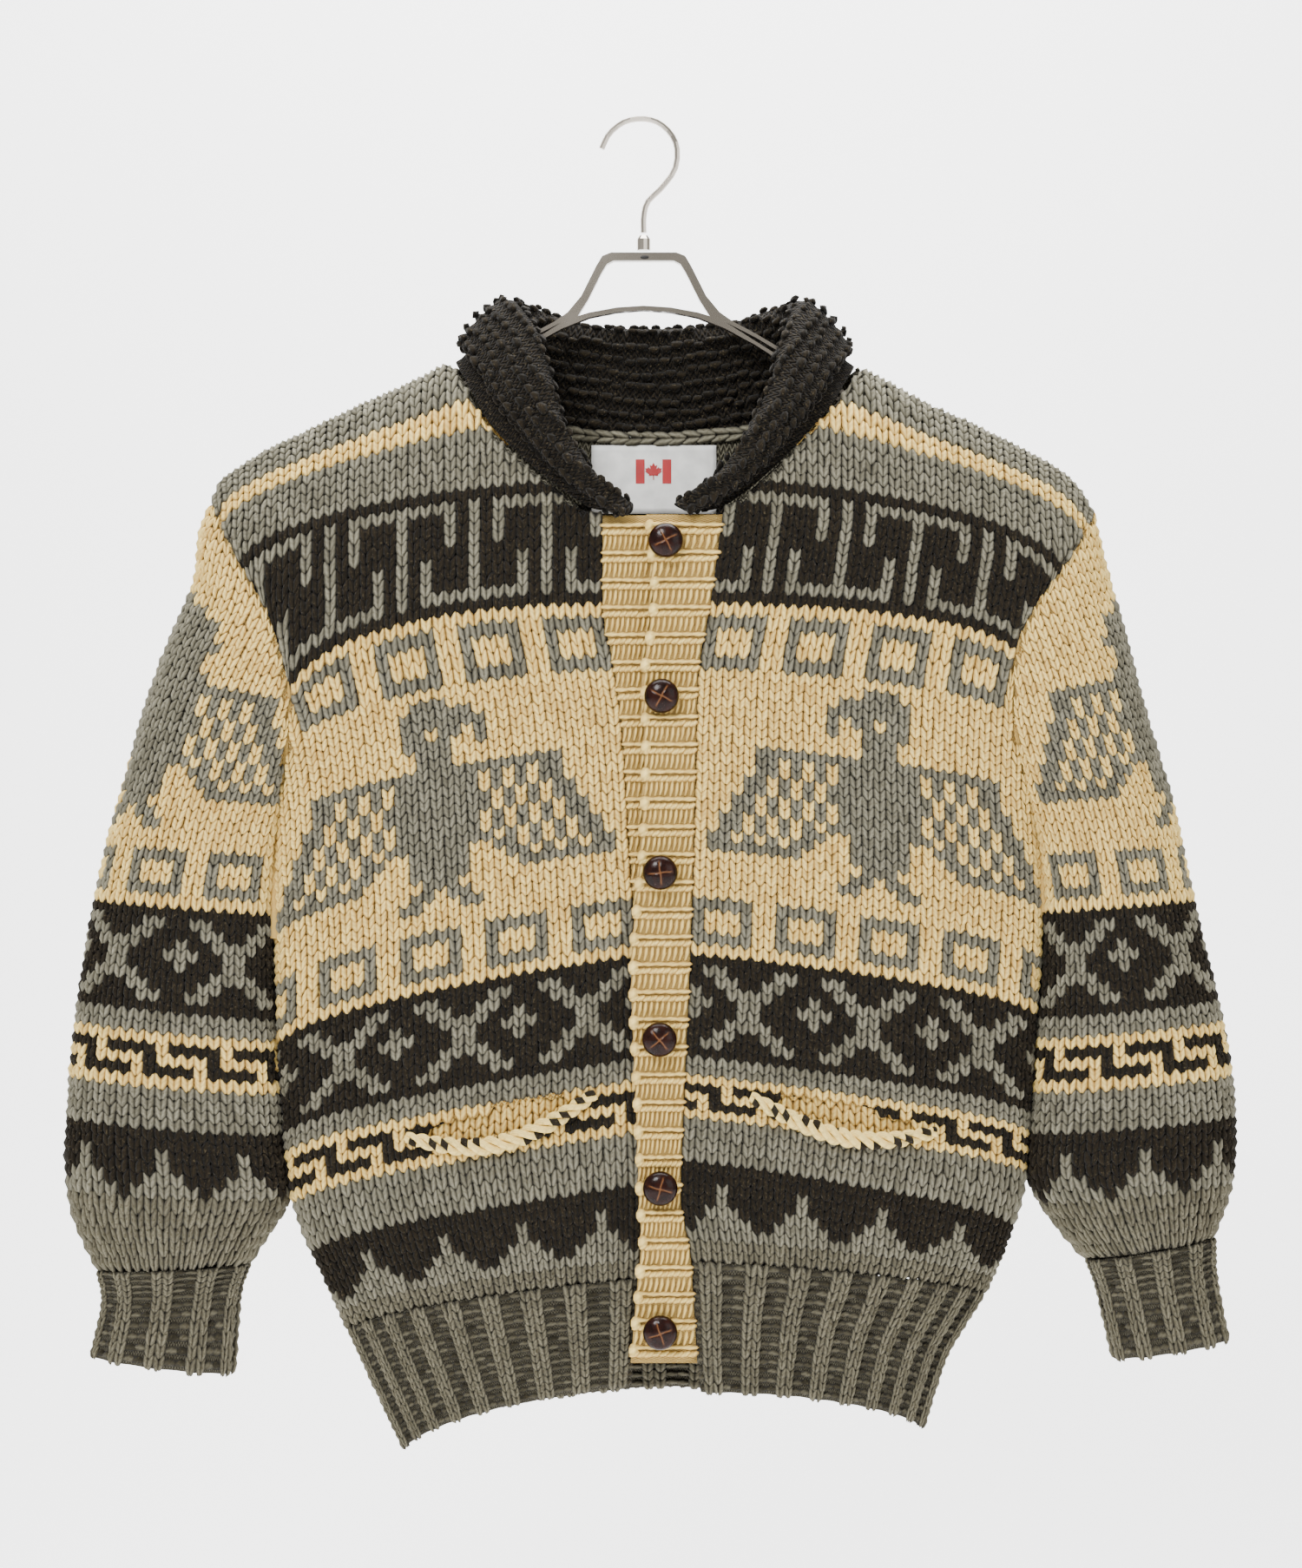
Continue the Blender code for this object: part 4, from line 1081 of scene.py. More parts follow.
RIGHT_HALF = HalfTables(
    rows=((0, -160, -290, 1.3), (5.5, -222, -306, 1.3), (11.5, -268, -330, 1.6),
          (24, -358, -392, 1.9), (30, -405, -438, 1.5), (38, -462, -504, 1.2),
          (58, -611, -658, 1.1), (68, -684, -730, 1), (76, -731, -777, 1),
          (80.5, -759, -812, 1.05), (89.5, -832, -862, 1.2), (104, -929, -962, 1.6)),
    shoulder=((50, -152), (110, -161), (158, -181), (210, -209), (246, -225), (282, -243),
              (309, -258), (323, -272), (334, -290)),
    neck=((48, -292), (64, -287), (92, -265), (118, -239), (140, -213), (152, -196), (158, -181)),
    edge=((-290, 59.5), (-358, 50), (-412, 41), (-484, 39), (-612, 35.5), (-722, 30.5),
          (-785, 28.5), (-833, 36), (-880, 39), (-930, 42)),
    side=((-290, 334), (-313, 320), (-329, 309), (-346, 295), (-366, 282.5), (-390, 273.5),
          (-430, 270), (-470, 277), (-504, 290), (-582, 294), (-680, 288), (-774, 281.5),
          (-832, 266), (-857, 255), (-880, 241), (-907, 225), (-962, 207)),
    reach=((-290, 335), (-340, 341), (-380, 326), (-420, 304), (-460, 294), (-504, 290)))

BACK_NECK = ((-139, -178), (-110, -205), (-75, -224), (8, -230), (90, -224), (128, -205),
             (158, -181))
DEPTHS = {
    Face.FRONT: ((-150, 38), (-290, 42), (-420, 44), (-620, 43), (-760, 47), (-820, 48),
                 (-870, 40), (-925, 34), (-980, 33)),
    Face.BACK: ((-150, 30), (-300, 32), (-500, 34), (-700, 35), (-820, 40), (-880, 32),
                (-980, 28)),
}
# Ends of each soft fold in x and z, its width and its height.
FOLDS = {
    Face.FRONT: ((-250, -520, -215, -800, 30, -5), (-205, -560, -165, -830, 32, 4),
                 (262, -520, 228, -790, 30, -5), (190, -600, 165, -820, 32, 4),
                 (-150, -812, -40, -775, 26, 4), (205, -800, 90, -780, 26, 4),
                 (-215, -300, -185, -430, 30, -3), (240, -300, 215, -420, 30, -3)),
    Face.BACK: ((-150, -330, -185, -780, 34, -6), (40, -420, 25, -830, 32, -5),
                (175, -330, 205, -780, 34, -6), (-60, -300, -80, -700, 34, 5),
                (110, -360, 120, -760, 34, 5)),
}


class HalfBody:
    """Surface of one half of the body, its left or right side."""

    CROSS_POWER = 2.7
    SHOULDER_ROUND = 72.0
    SHOULDER_ROWS = 7.0
    COLUMN_BEND = 1.4
    FOLD_ENDS = 0.35
    BACK_SAG = 10.0
    LAP_FADE = 75.0

    def __init__(self, side: Side) -> None:
        """Read the tables of a side.

        Args:
            side: which half.
        """
        tables = LEFT_HALF if side is Side.LEFT else RIGHT_HALF
        self.side = side
        self.middle, self.outer, self.power = (Curve(tables.rows, k) for k in (1, 2, 3))
        self.shoulder, self.neck = Curve(tables.shoulder), Curve(tables.neck)
        self.edge, self.seam = Curve(tables.edge), Curve(tables.side)
        self.reach, self.underarm = Curve(tables.reach), tables.reach[-1][0]
        self.back_neck = Curve(BACK_NECK)
        self.back_middle = [Curve(half.rows) for half in (LEFT_HALF, RIGHT_HALF)]
        self.depths = {face: Curve(table) for face, table in DEPTHS.items()}

    def fold(self, face: Face, x: Array, z: Array) -> Array:
        """How far the soft folds lift the cloth.

        Args:
            face: front or back.
            x: places across.
            z: heights.

        Returns:
            How far it is lifted at each.
        """
        total = np.zeros(np.broadcast(x, z).shape)
        for x1, z1, x2, z2, width, height in FOLDS[face]:
            dx, dz = x2 - x1, z2 - z1
            t = ((x - x1) * dx + (z - z1) * dz) / (dx * dx + dz * dz)
            away = np.hypot(x - x1 - dx * t, z - z1 - dz * t) / width
            ends = ease(t / self.FOLD_ENDS) * ease((1.0 - t) / self.FOLD_ENDS)
            total = total + height * ends * np.exp(-away * away)
        return total

    def depth(self, face: Face, x: Array, z: Array) -> Array:
        """y of the cloth at x and z, without the lap.

        Args:
            face: front or back.
            x: places across.
            z: heights.

        Returns:
            y at each.
        """
        reach = np.where(z < self.underarm, self.seam(z), self.reach(z))
        share = np.clip(np.abs((x - MID_X) / (reach - MID_X)), 0.0, 1.0)
        across = (1.0 - share ** self.CROSS_POWER) ** (1.0 / self.CROSS_POWER)
        drop = np.clip((self.shoulder(x) - z) / self.SHOULDER_ROUND, 0.0, 1.0)
        fall = np.sqrt(1.0 - (1.0 - drop) ** 2)
        y = (self.depths[face](z) + self.fold(face, x, z)) * across * fall + GAP / 2.0
        return -y if face is Face.FRONT else y

    def lapped(self, face: Face, x: Array, z: Array) -> Array:
        """y of the cloth at x and z; the right front comes forward to lap over the left.

        Args:
            face: front or back.
            x: places across.
            z: heights.

        Returns:
            y at each.
        """
        y = self.depth(face, x, z)
        if face is Face.FRONT and self.side is Side.RIGHT:
            y = y - LAP * ease(1.0 - (x - self.edge(z)) / self.LAP_FADE)
        return y

    def level(self, face: Face, row: Array, share: Array) -> tuple[Array, Array]:
        """x and z of a row before it follows the shoulder.

        Args:
            face: front or back.
            row: rows as the solids count them.
            share: shares of the way to the side.

        Returns:
            x and z of each.
        """
        z_side, z_middle, x_middle = self.outer(row), self.middle(row), MID_X
        if face is Face.BACK:
            z_middle = sum(curve(row) for curve in self.back_middle) / 2.0 - self.BACK_SAG
        else:
            x_middle = self.edge(z_middle)
        bend = np.sin(self.COLUMN_BEND * share) / math.sin(self.COLUMN_BEND)
        x = x_middle + (self.seam(z_side) - x_middle) * bend
        return x, z_middle + (z_side - z_middle) * share ** self.power(row)

    def place(self, face: Face, row: Array, share: Array) -> Array:
        """Points of the cloth at knitted rows and shares of the way to the side.

        Args:
            face: front or back.
            row: rows, counted as the solids count them.
            share: 0 at the middle edge and 1 at the side.

        Returns:
            Points, with a last axis of three.
        """
        row, share = np.broadcast_arrays(np.asarray(row, float), np.asarray(share, float))
        x, z = self.level(face, row, share)
        top_x, top_z = self.level(face, np.zeros_like(row), share)
        z = z + (self.shoulder(top_x) - top_z) * (1.0 - ease(row / self.SHOULDER_ROWS))
        return np.stack((x, self.lapped(face, x, z), z), axis=-1)


class Body(dict):
    """Both halves of the body, each under its side."""

    def __init__(self) -> None:
        """Make the halves."""
        super().__init__({side: HalfBody(side) for side in Side})

    def depth(self, face: Face, x: Array, z: Array) -> Array:
        """y of the cloth at x and z, on the half where they lie and without the lap."""
        left, right = (half.depth(face, x, z) for half in self.values())
        return np.where(np.asarray(x) > MID_X, right, left)


@dataclass
class Panel:
    """Lays the stitches of one half of the body out on its surface."""

    half: HalfBody
    face: Face
    columns: int
    ROWS = 87
    # Knitted rows and the solids' rows where they begin.
    KNIT = ((12, 11.5), (23, 24.0), (28, 30.0), (52, 52.5), (57, 58.0), (67, 68.0),
            (74, 75.5), (78, 80.5), (87, 89.5))
    YOKE_SHARE = 0.55
    UNDERARM_ROW = 38.0
    EXTRA = 8  # columns above the underarm that run out at the armhole
    FINE = 181

    def cloth_rows(self) -> Array:
        """Rows of the solids at which the knitted rows begin; even at the shoulder.

        Returns:
            The solids' row at each knitted row's top and at the last one's bottom.
        """
        keys, rows = zip(*self.KNIT)
        fine = np.linspace(0.0, rows[0], 90)
        lengths = along(self.half.place(self.face, fine, self.YOKE_SHARE))
        top = np.interp(np.arange(keys[0]) / keys[0] * lengths[-1], lengths, fine)
        return np.concatenate((top, np.interp(np.arange(keys[0], self.ROWS + 1), keys, rows)))

    def grid(self) -> Grid:
        """The stitches' corners, from the middle edge outwards.

        Returns:
            The grid, which may face either way.
        """
        rows = self.cloth_rows()
        shares = np.linspace(0.0, 1.0, self.FINE)
        fine = self.half.place(self.face, rows[:, None], shares[None])
        steps = np.linalg.norm(np.diff(fine[..., :2], axis=1), axis=-1)
        lengths = np.concatenate((np.zeros((len(rows), 1)), np.cumsum(steps, axis=1)), axis=1)
        level = self.half.place(self.face, np.array([[self.UNDERARM_ROW]]), shares[None])
        full = np.linalg.norm(np.diff(level[..., :2], axis=1), axis=-1).sum()
        count = self.columns + self.EXTRA
        corners = np.empty((len(rows), count + 1, 3))
        for i, row in enumerate(rows):
            total = lengths[i, -1] if row > self.UNDERARM_ROW else full
            at = np.minimum(np.arange(count + 1) * total / self.columns, lengths[i, -1])
            corners[i] = self.half.place(self.face, row, np.interp(at, lengths[i], shares))
        self.trim_neck(corners)
        return Grid(corners, np.arange(count), np.arange(self.ROWS))

    def trim_neck(self, corners: Array) -> None:
        """Bring the corners above the neckline down onto it.

        Args:
            corners: the grid's corners, which are moved.
        """
        neck = self.half.back_neck if self.face is Face.BACK else self.half.neck
        above = corners[..., 2] - neck(corners[..., 0])
        for j in range(corners.shape[1]):
            over = np.nonzero(above[:, j] > 0.0)[0]
            if not len(over) or over[-1] + 1 >= len(corners):
                continue
            i = over[-1]
            t = above[i, j] / (above[i, j] - above[i + 1, j])
            corners[:i + 1, j] = corners[i, j] * (1.0 - t) + corners[i + 1, j] * t


# ------------------------------------------------------------------ knitted pieces
@dataclass(frozen=True)
class Kit:
    """What every piece of knitting needs: the body's surface, the beads and the finishes."""

    body: Body
    beads: Beads
    finishes: Finishes
    SLOT = "patterned_wool"
    SUNK = 1.9  # depth of a panel's shell and stitches under the corners' surface
    NARROW = 0.5  # share of the median cell under which a cell carries no stitch

    def panel(self, name: str, nodes: Sequence[str], grid: Grid, chart: Callable, seed: int,
              gone: Optional[Array] = None, parts: int = 1) -> tuple[Piece, list[Piece]]:
        """Make the shell and the stitches of one panel of colourwork.

        Args:
            name: the panel's name.
            nodes: the solids it stands for.
            grid: corners of the stitches.
            chart: gives the yarn of a row and a column.
            seed: start of the stitches' random differences.
            gone: cells that carry no stitch.
            parts: pieces that the stitches are split in.

        Returns:
            The shell and the list of stitch pieces.
        """
        yarn = np.array([[int(chart(r, c)) for c in grid.column] for r in grid.row])
        shell = grid.shell(name, yarn, self.SLOT, self.finishes.ground, nodes, sunk=self.SUNK)
        areas = grid.areas()
        kept = areas > self.NARROW * np.median(areas)
        if gone is not None:
            kept &= ~gone
        frames = grid.frames(-self.SUNK)
        behind = frames.out[..., 1] > 0.0
        column = np.arange(yarn.shape[1])
        made = []
        for part in range(parts):
            low, high = (k * yarn.shape[1] // parts for k in (part, part + 1))
            mask = kept & (column >= low) & (column < high)
            ending = "" if parts == 1 else f"_{part + 1}"
            work = Knitting(self, f"{name}_stitches{ending}", seed + part)
            for here, plain in ((mask & ~behind, False), (mask & behind, True)):
                work.stitches(frames.pick(here), yarn[here], plain)
            made.append(work.finish(self.SLOT))
        return shell, made


@dataclass
class Pocket:
    """Slit pocket of a front: mouth, lining and twisted lip."""

    kit: Kit
    side: Side
    lip_radius: float = 6.2
    overlap: float = 4.0
    clear: float = 0.8
    # x and z of each mouth's ends, and the sag of its lower and upper edges.
    MOUTHS = {Side.LEFT: (-171.0, -746.0, -34.0, -714.0, 21.0, -5.0),
              Side.RIGHT: (78.0, -716.0, 213.0, -743.0, 17.0, -7.5)}
    CUT = (-95.0, -15.0)  # y between which the mouth is cut
    COLUMNS, ROWS = 15, 5
    STRIP = (14.0, 44.0)  # how far the lining begins above the mouth, and its height
    STEPS, SIDES, STRANDS = 260, 8, 3
    TWIST, FLECK = 30.0, 23.0  # lengths of one turn of the lip and between its flecks

    def edge(self, sag: float, t: Array) -> tuple[Array, Array]:
        """x and z along one edge of the mouth."""
        x1, z1, x2, z2 = self.MOUTHS[self.side][:4]
        return x1 + (x2 - x1) * t, z1 + (z2 - z1) * t - sag * np.sin(np.pi * t)

    def inside(self, points: Array) -> Array:
        """Whether points in front of the cloth lie in the mouth.

        Args:
            points: places of stitches.

        Returns:
            A mask in their shape.
        """
        x1, _, x2, _, lower, upper = self.MOUTHS[self.side]
        t = (points[..., 0] - x1) / (x2 - x1)
        low = self.edge(lower, t)[1]
        high = self.edge(upper - self.overlap, t)[1]
        return (t > 0.0) & (t < 1.0) & (points[..., 2] > low) & (points[..., 2] < high)

    def cut(self, shell: Piece) -> None:
        """Cut the mouth through a front's shell.

        Args:
            shell: the front's cloth.
        """
        lower, upper = self.MOUTHS[self.side][4:]
        t = np.linspace(0.0, 1.0, 17)
        low = np.stack(self.edge(lower, t), axis=-1)
        high = np.stack(self.edge(upper - self.overlap, t), axis=-1)[-2:0:-1]
        ring = np.concatenate((low, high))
        points = np.concatenate([np.insert(ring, 1, y, axis=1) for y in self.CUT])
        cutter = mesh_piece("mouth_cutter", points, quads(1, len(ring), len(ring))[0])
        with editing(cutter, "DESELECT"):
            bpy.ops.mesh.select_mode(type="EDGE")
            bpy.ops.mesh.select_non_manifold()
            bpy.ops.mesh.edge_face_add()
            bpy.ops.mesh.select_all(action="SELECT")
            bpy.ops.mesh.fill_holes(sides=0)
            bpy.ops.mesh.normals_make_consistent(inside=False)
        apply_modifier(shell, "BOOLEAN", operation="DIFFERENCE", object=cutter)
        bpy.data.objects.remove(cutter, do_unlink=True)

    def lining(self) -> tuple[Piece, Piece]:
        """Cream strip of knitting behind the mouth: its cloth and its stitches.

        Returns:
            Both pieces.
        """
        x, z = self.edge(0.0, np.linspace(0.0, 1.0, self.COLUMNS + 1))
        above, high = self.STRIP
        z = z[None] + above - high * np.linspace(0.0, 1.0, self.ROWS + 1)[:, None]
        x = np.broadcast_to(x, z.shape)
        y = self.kit.body[self.side].depth(Face.FRONT, x, z) + WALL + self.clear
        grid = Grid.plain(np.stack((x, y, z), axis=-1), -1.0)
        name = "pocket_lining_" + self.side.value
        shell = grid.shell(name, Yarn.CREAM, "cream_wool", self.kit.finishes.ground, depth=3.0,
                           sunk=1.0)
        work = Knitting(self.kit, name + "_stitches", 70)
        every = np.ones((self.ROWS, self.COLUMNS), bool)
        work.stitches(grid.frames(-1.0).pick(every), Yarn.CREAM)
        return shell, work.finish("cream_wool")

    def lip(self) -> Piece:
        """Two-ply cream edge with dark flecks, along the bottom of the mouth.

        Returns:
            The piece.
        """
        t = np.linspace(0.0, 1.0, self.STEPS)
        x, z = self.edge(self.MOUTHS[self.side][4], t)
        y = self.kit.body[self.side].lapped(Face.FRONT, x, z)
        radius = self.lip_radius * (0.6 + 0.4 * np.sin(np.pi * t) ** 0.6)
        path = np.stack((x, y - radius * 0.7, z + radius * 0.5), axis=-1)
        lengths = along(path)
        tangent = unit(np.gradient(path, axis=0))
        out = unit(np.array((0.0, -1.0, 0.0)) - tangent * -tangent[:, 1:2])
        beside = np.cross(tangent, out)
        points, faces, yarn = [], [], []
        angle = np.linspace(0.0, TURN, self.SIDES, endpoint=False)[None, :, None]
        ring = out[:, None] * np.cos(angle) + beside[:, None] * np.sin(angle)
        quad = quads(self.STEPS - 1, self.SIDES, self.SIDES)[0]
        for strand in range(self.STRANDS):
            turn = lengths / self.TWIST * TURN + strand * TURN / self.STRANDS
            core = path + (out * np.cos(turn)[:, None] * 0.75
                           + beside * np.sin(turn)[:, None]) * (radius * 0.62)[:, None]
            thick = (radius * 0.52)[:, None, None]
            points.append((core[:, None] + ring * thick).reshape(-1, 3))
            faces.append(quad + strand * self.STEPS * self.SIDES)
            fleck = (np.sin(lengths / self.FLECK * TURN + strand * 2.4) > 0.7)[:-1]
            dark = fleck & (strand < self.STRANDS - 1)
            yarn.append(np.repeat(np.where(dark, Yarn.DARK, Yarn.CREAM), self.SIDES))
        points, faces = np.concatenate(points), np.concatenate(faces)
        step = faces % (self.STEPS * self.SIDES) // self.SIDES
        layout = np.stack((faces % self.SIDES / self.SIDES, lengths[step] / 12.0), axis=-1)
        piece = mesh_piece("twisted_lip_" + self.side.value, points, faces,
                           np.concatenate(yarn), np.full(len(points), 0.8), strand=layout)
        with editing(piece, "DESELECT"):
            bpy.ops.mesh.select_non_manifold()
            bpy.ops.mesh.fill_holes(sides=0)
            bpy.ops.mesh.select_all(action="SELECT")
            bpy.ops.mesh.normals_make_consistent(inside=False)
        return dress(piece, "cream_wool", self.kit.finishes.stitches,
                     ["pocket_lip_" + self.side.value])

    def build(self) -> list[Piece]:
        """Returns:
            The lining's cloth and stitches, and the lip.
        """
        shell, stitches = self.lining()
        return [shell, stitches, self.lip()]


@dataclass
class Fronts:
    """The two fronts with their pockets."""

    kit: Kit
    columns: int = 31
    SEEDS = {Side.LEFT: 11, Side.RIGHT: 12}

    def build(self, side: Side) -> list[Piece]:
        """Make the front of one side and return its pieces.

        Args:
            side: which front.

        Returns:
            Its pieces, with the pocket's.
        """
        grid = Panel(self.kit.body[side], Face.FRONT, self.columns).grid().facing(-1.0)
        name = "front_" + side.value
        pocket = Pocket(self.kit, side)
        shell, stitches = self.kit.panel(
            name, [name + "_upper", name + "_lower"], grid, lambda r, c: Charts.body(r, c, side),
            self.SEEDS[side], gone=pocket.inside(grid.frames().centre))
        pocket.cut(shell)
        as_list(stitches)
        return [shell, *stitches, *pocket.build()]


@dataclass
class Back:
    """The whole back."""

    kit: Kit
    columns: int = 34
    CHAIN = (-92.0, 112.0, 20)  # x of the neck chain's ends, and its stitches

    @staticmethod
    def chart(row: int, c: int) -> Yarn:
        """Yarn of a stitch; c is counted from the middle, below 0 on the left."""
        side = Side.LEFT if c < 0 else Side.RIGHT
        return Charts.body(row, (-1 - c if c < 0 else c) - 2, side)

    def build(self) -> list[Piece]:
        """Make the back and return its pieces.

        Returns:
            Its pieces.
        """
        left, right = (Panel(half, Face.BACK, self.columns).grid()
                       for half in self.kit.body.values())
        grid = Grid(np.concatenate((left.corners[:, :0:-1], right.corners), axis=1),
                    np.concatenate((-1 - left.column[::-1], right.column)), left.row)
        shell, stitches = self.kit.panel("back", ["back_upper", "back_lower"],
                                         grid.facing(1.0), self.chart, 21, parts=2)
        stitches.append(self.chain())
        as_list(stitches)
        return [shell, *stitches]

    def chain(self) -> Piece:
        """Grey chain that covers the collar's seam inside the back of the neck.

        Returns:
            The piece.
        """
        x = np.linspace(*self.CHAIN)
        z = self.kit.body[Side.LEFT].back_neck(x) - 1.0
        y = self.kit.body.depth(Face.BACK, x, z) - WALL - 0.5
        centre = np.stack((x, y, z), axis=-1)
        down = np.gradient(centre, axis=0)
        across = np.broadcast_to((0.0, 0.0, -10.5), down.shape)
        out = unit(np.cross(across, down)) * 8.0
        work = Knitting(self.kit, "neck_chain", 29)
        work.stitches(Frames(centre, across, down, out), Yarn.GREY)
        return work.finish("patterned_wool")


# Rings of each sleeve and cuff: x and z of the outer end and of the inner end, half
# depth and y.
SLEEVES = {
    Side.LEFT: ((-318, -281, -271, -522, 27, 0), (-326, -302, -273, -533, 31, 1),
                (-330, -338, -273.3, -541, 34, 2), (-344, -372, -273, -550, 36, 2),
                (-357, -405, -272.8, -560, 37, 3), (-368, -438, -272.5, -571, 38, 3),
                (-378, -475, -272.3, -585, 38, 3), (-391, -520, -272, -602, 38, 3),
                (-402, -568, -271.5, -624, 38, 3), (-411, -618, -270.7, -652, 38, 3),
                (-418, -670, -269.5, -686, 39, 3), (-422.5, -722, -267.5, -722, 40, 2),
                (-423.5, -762, -264.5, -757, 42, 2), (-420, -800, -260.5, -791, 41, 2),
                (-410, -826, -277, -820, 34, 2), (-400, -846, -291, -841, 27, 2)),
    Side.RIGHT: ((334, -290, 290, -504, 27, 0), (337, -308, 292.5, -517, 31, 1),
                 (344, -337, 293.6, -526, 34, 2), (353, -368, 294.5, -536, 36, 2),
                 (361, -398, 295, -547, 37, 3), (369, -430, 295.3, -559, 38, 3),
                 (378.5, -462, 295.6, -573, 38, 3), (390, -500, 295.6, -589, 38, 3),
                 (400, -545, 295.2, -609, 38, 3), (411, -595, 293.8, -636, 38, 3),
                 (424, -648, 291.5, -668, 39, 3), (433, -698, 288.8, -702, 40, 2),
                 (436, -738, 286.5, -737, 42, 2), (434, -778, 284.5, -776, 41, 2),
                 (426, -806, 305, -812, 34, 2), (420, -822, 329, -838, 27, 2)),
}
CUFFS = {
    Side.LEFT: ((-399.7, -846.6, -291.4, -841.6, 26.8, 2), (-396, -872, -299.5, -868, 22, 2),
                (-404, -910, -304, -922, 22, 2)),
    Side.RIGHT: ((419.9, -822.6, 329.6, -838.5, 26.8, 2), (421, -852, 339, -865, 22, 2),
                 (429, -898, 350, -911, 22, 2)),
}


def oval(row: Sequence[float], turn: Array) -> Array:
    """Points of one ring at some angles, 0 at the outer end and growing to the front.

    Args:
        row: the ring's row in SLEEVES or CUFFS.
        turn: the angles.

    Returns:
        A point at each angle.
    """
    x_outer, z_outer, x_inner, z_inner, half_depth, y = row
    share = (1.0 - np.cos(turn)) / 2.0
    bulge = np.sign(np.sin(turn)) * np.abs(np.sin(turn)) ** 0.85
    return np.stack((x_outer + (x_inner - x_outer) * share, y - half_depth * bulge,
                     z_outer + (z_inner - z_outer) * share), axis=-1)


@dataclass
class Sleeve:
    """One sleeve, its rows level round the arm and its columns down it."""

    kit: Kit
    side: Side
    around: int = 40
    rows: int = 69
    ARMHOLE = (0.0, 1.0, 3.5, 8.0, 12.5, 17.5, 23.0, 28.0, 33.0, 38.0)
    FADE = 6.0
    # Knitted rows and their levels; the arm's heights and how much its rows tilt there.
    LEVELS = ((0, -278.0), (16, -411.0), (30, -521.0), (32, -536.5), (36, -569.0),
              (37, -578.0), (47, -654.5), (49, -669.8), (50, -677.5), (53, -701.0),
              (54, -709.5), (58, -739.5), (60, -754.5), (64, -789.0), (69, -842.0))
    TILT = ((-380.0, 0.24), (-450.0, 0.16), (-530.0, 0.06), (-620.0, 0.10), (-760.0, 0.08))
    TILT_END = {Side.LEFT: -0.046, Side.RIGHT: 0.17}
    MIDDLE = {Side.LEFT: -345.0, Side.RIGHT: 350.0}
    FINE_RINGS, FINE_STEP = 121, 0.2
    FACING_ROW = 40  # whose cells tell whether the grid faces outwards

    def rings(self) -> Array:
        """Rings of points from the armhole to the cuff.

        Returns:
            The rings in the order of SLEEVES.
        """
        last = len(self.ARMHOLE) - 1
        half = self.kit.body[self.side]
        loop = np.array([half.place(face, self.ARMHOLE[i], 1.0)
                         for face, order in ((Face.FRONT, range(last)),
                                             (Face.BACK, range(last, 0, -1))) for i in order])
        loop[[0, last], 1] = 0.0
        turn = np.arange(len(loop)) * TURN / len(loop)
        rows = SLEEVES[self.side]
        first = oval(rows[0], turn)
        return np.array([oval(row, turn) + (loop - first) * (1.0 - ease(i / self.FADE))
                         for i, row in enumerate(rows)])

    def height(self, points: Array) -> Array:
        """Level of points, measured along the arm's tilted rows.

        Args:
            points: places on the arm.

        Returns:
            The level of each.
        """
        z = points[..., 2]
        tilt = Curve(self.TILT)(z)
        tilt = tilt + (self.TILT_END[self.side] - tilt) * ease((-760.0 - z) / 80.0)
        hand = -1.0 if self.side is Side.LEFT else 1.0
        return z - hand * tilt * (points[..., 0] - self.MIDDLE[self.side])

    def line(self, fine: Array, heights: Array, level: float) -> tuple[Array, ...]:
        """One level line round the sleeve: whole, or its front and back parts.

        Args:
            fine: lines of points down the sleeve, all the way round it.
            heights: level of each point.
            level: level of the line.

        Returns:
            The closed line alone, or, where the sleeve head is open, the parts from the
            outermost point to the armhole's front and back edges.
        """
        count = len(fine)
        reach = heights[:, 0] >= level
        here = np.array([resample(points, -down, np.array([-level]))[0]
                         for points, down in zip(fine, heights)])
        if reach.all():
            return (np.concatenate((here, here[:1])),)
        front = next(k for k in range(count) if not reach[k]) if reach[0] else 0
        back = next(k for k in range(count) if not reach[-1 - k]) if reach[-1] else 0
        ends = []
        for inner, outer in ((front - 1, front), (-back, -back - 1)):
            a, b = heights[inner % count, 0], heights[outer % count, 0]
            t = np.clip((a - level) / max(a - b, 1e-6), 0.0, 1.0)
            ends.append(fine[inner % count, 0] * (1 - t) + fine[outer % count, 0] * t)
        return (np.concatenate((here[:front], ends[:1])),
                np.concatenate((here[:1], here[:count - back - 1:-1], ends[1:])))

    def grid(self) -> Grid:
        """The stitches' corners; column 0 starts at the outermost line, towards the front.

        Returns:
            The grid, facing outwards.
        """
        rings = self.rings()
        fine = spline(rings, np.linspace(0.0, len(rings) - 1.0, self.FINE_RINGS))
        places = np.arange(0.0, rings.shape[1], self.FINE_STEP)
        fine = spline(fine.transpose(1, 0, 2), places, closed=True)
        heights = np.minimum.accumulate(self.height(fine), axis=1)
        levels = np.interp(np.arange(self.rows + 1), *zip(*self.LEVELS))
        lines = [self.line(fine, heights, level) for level in levels]
        pitch = along(next(line[0] for line in lines if len(line) == 1))[-1] / self.around
        side = self.around // 2
        corners = []
        for line in lines:
            if len(line) == 1:
                lengths = along(line[0])
                at = np.arange(-side, side + 1) / self.around * lengths[-1]
                corners.append(resample(line[0], lengths, at % (lengths[-1] + 1e-9)))
            else:
                steps = np.arange(side + 1) * pitch
                front, back = (resample(part, along(part), steps) for part in line)
                corners.append(np.concatenate((back[:0:-1], front)))
        grid = Grid(np.array(corners), np.arange(-side, side), np.arange(self.rows))
        frames, row = grid.frames(), self.FACING_ROW
        away = frames.centre[row] - grid.corners[row, :-1].mean(axis=0)
        return grid if (away * frames.out[row]).sum() >= 0.0 else grid.flipped()

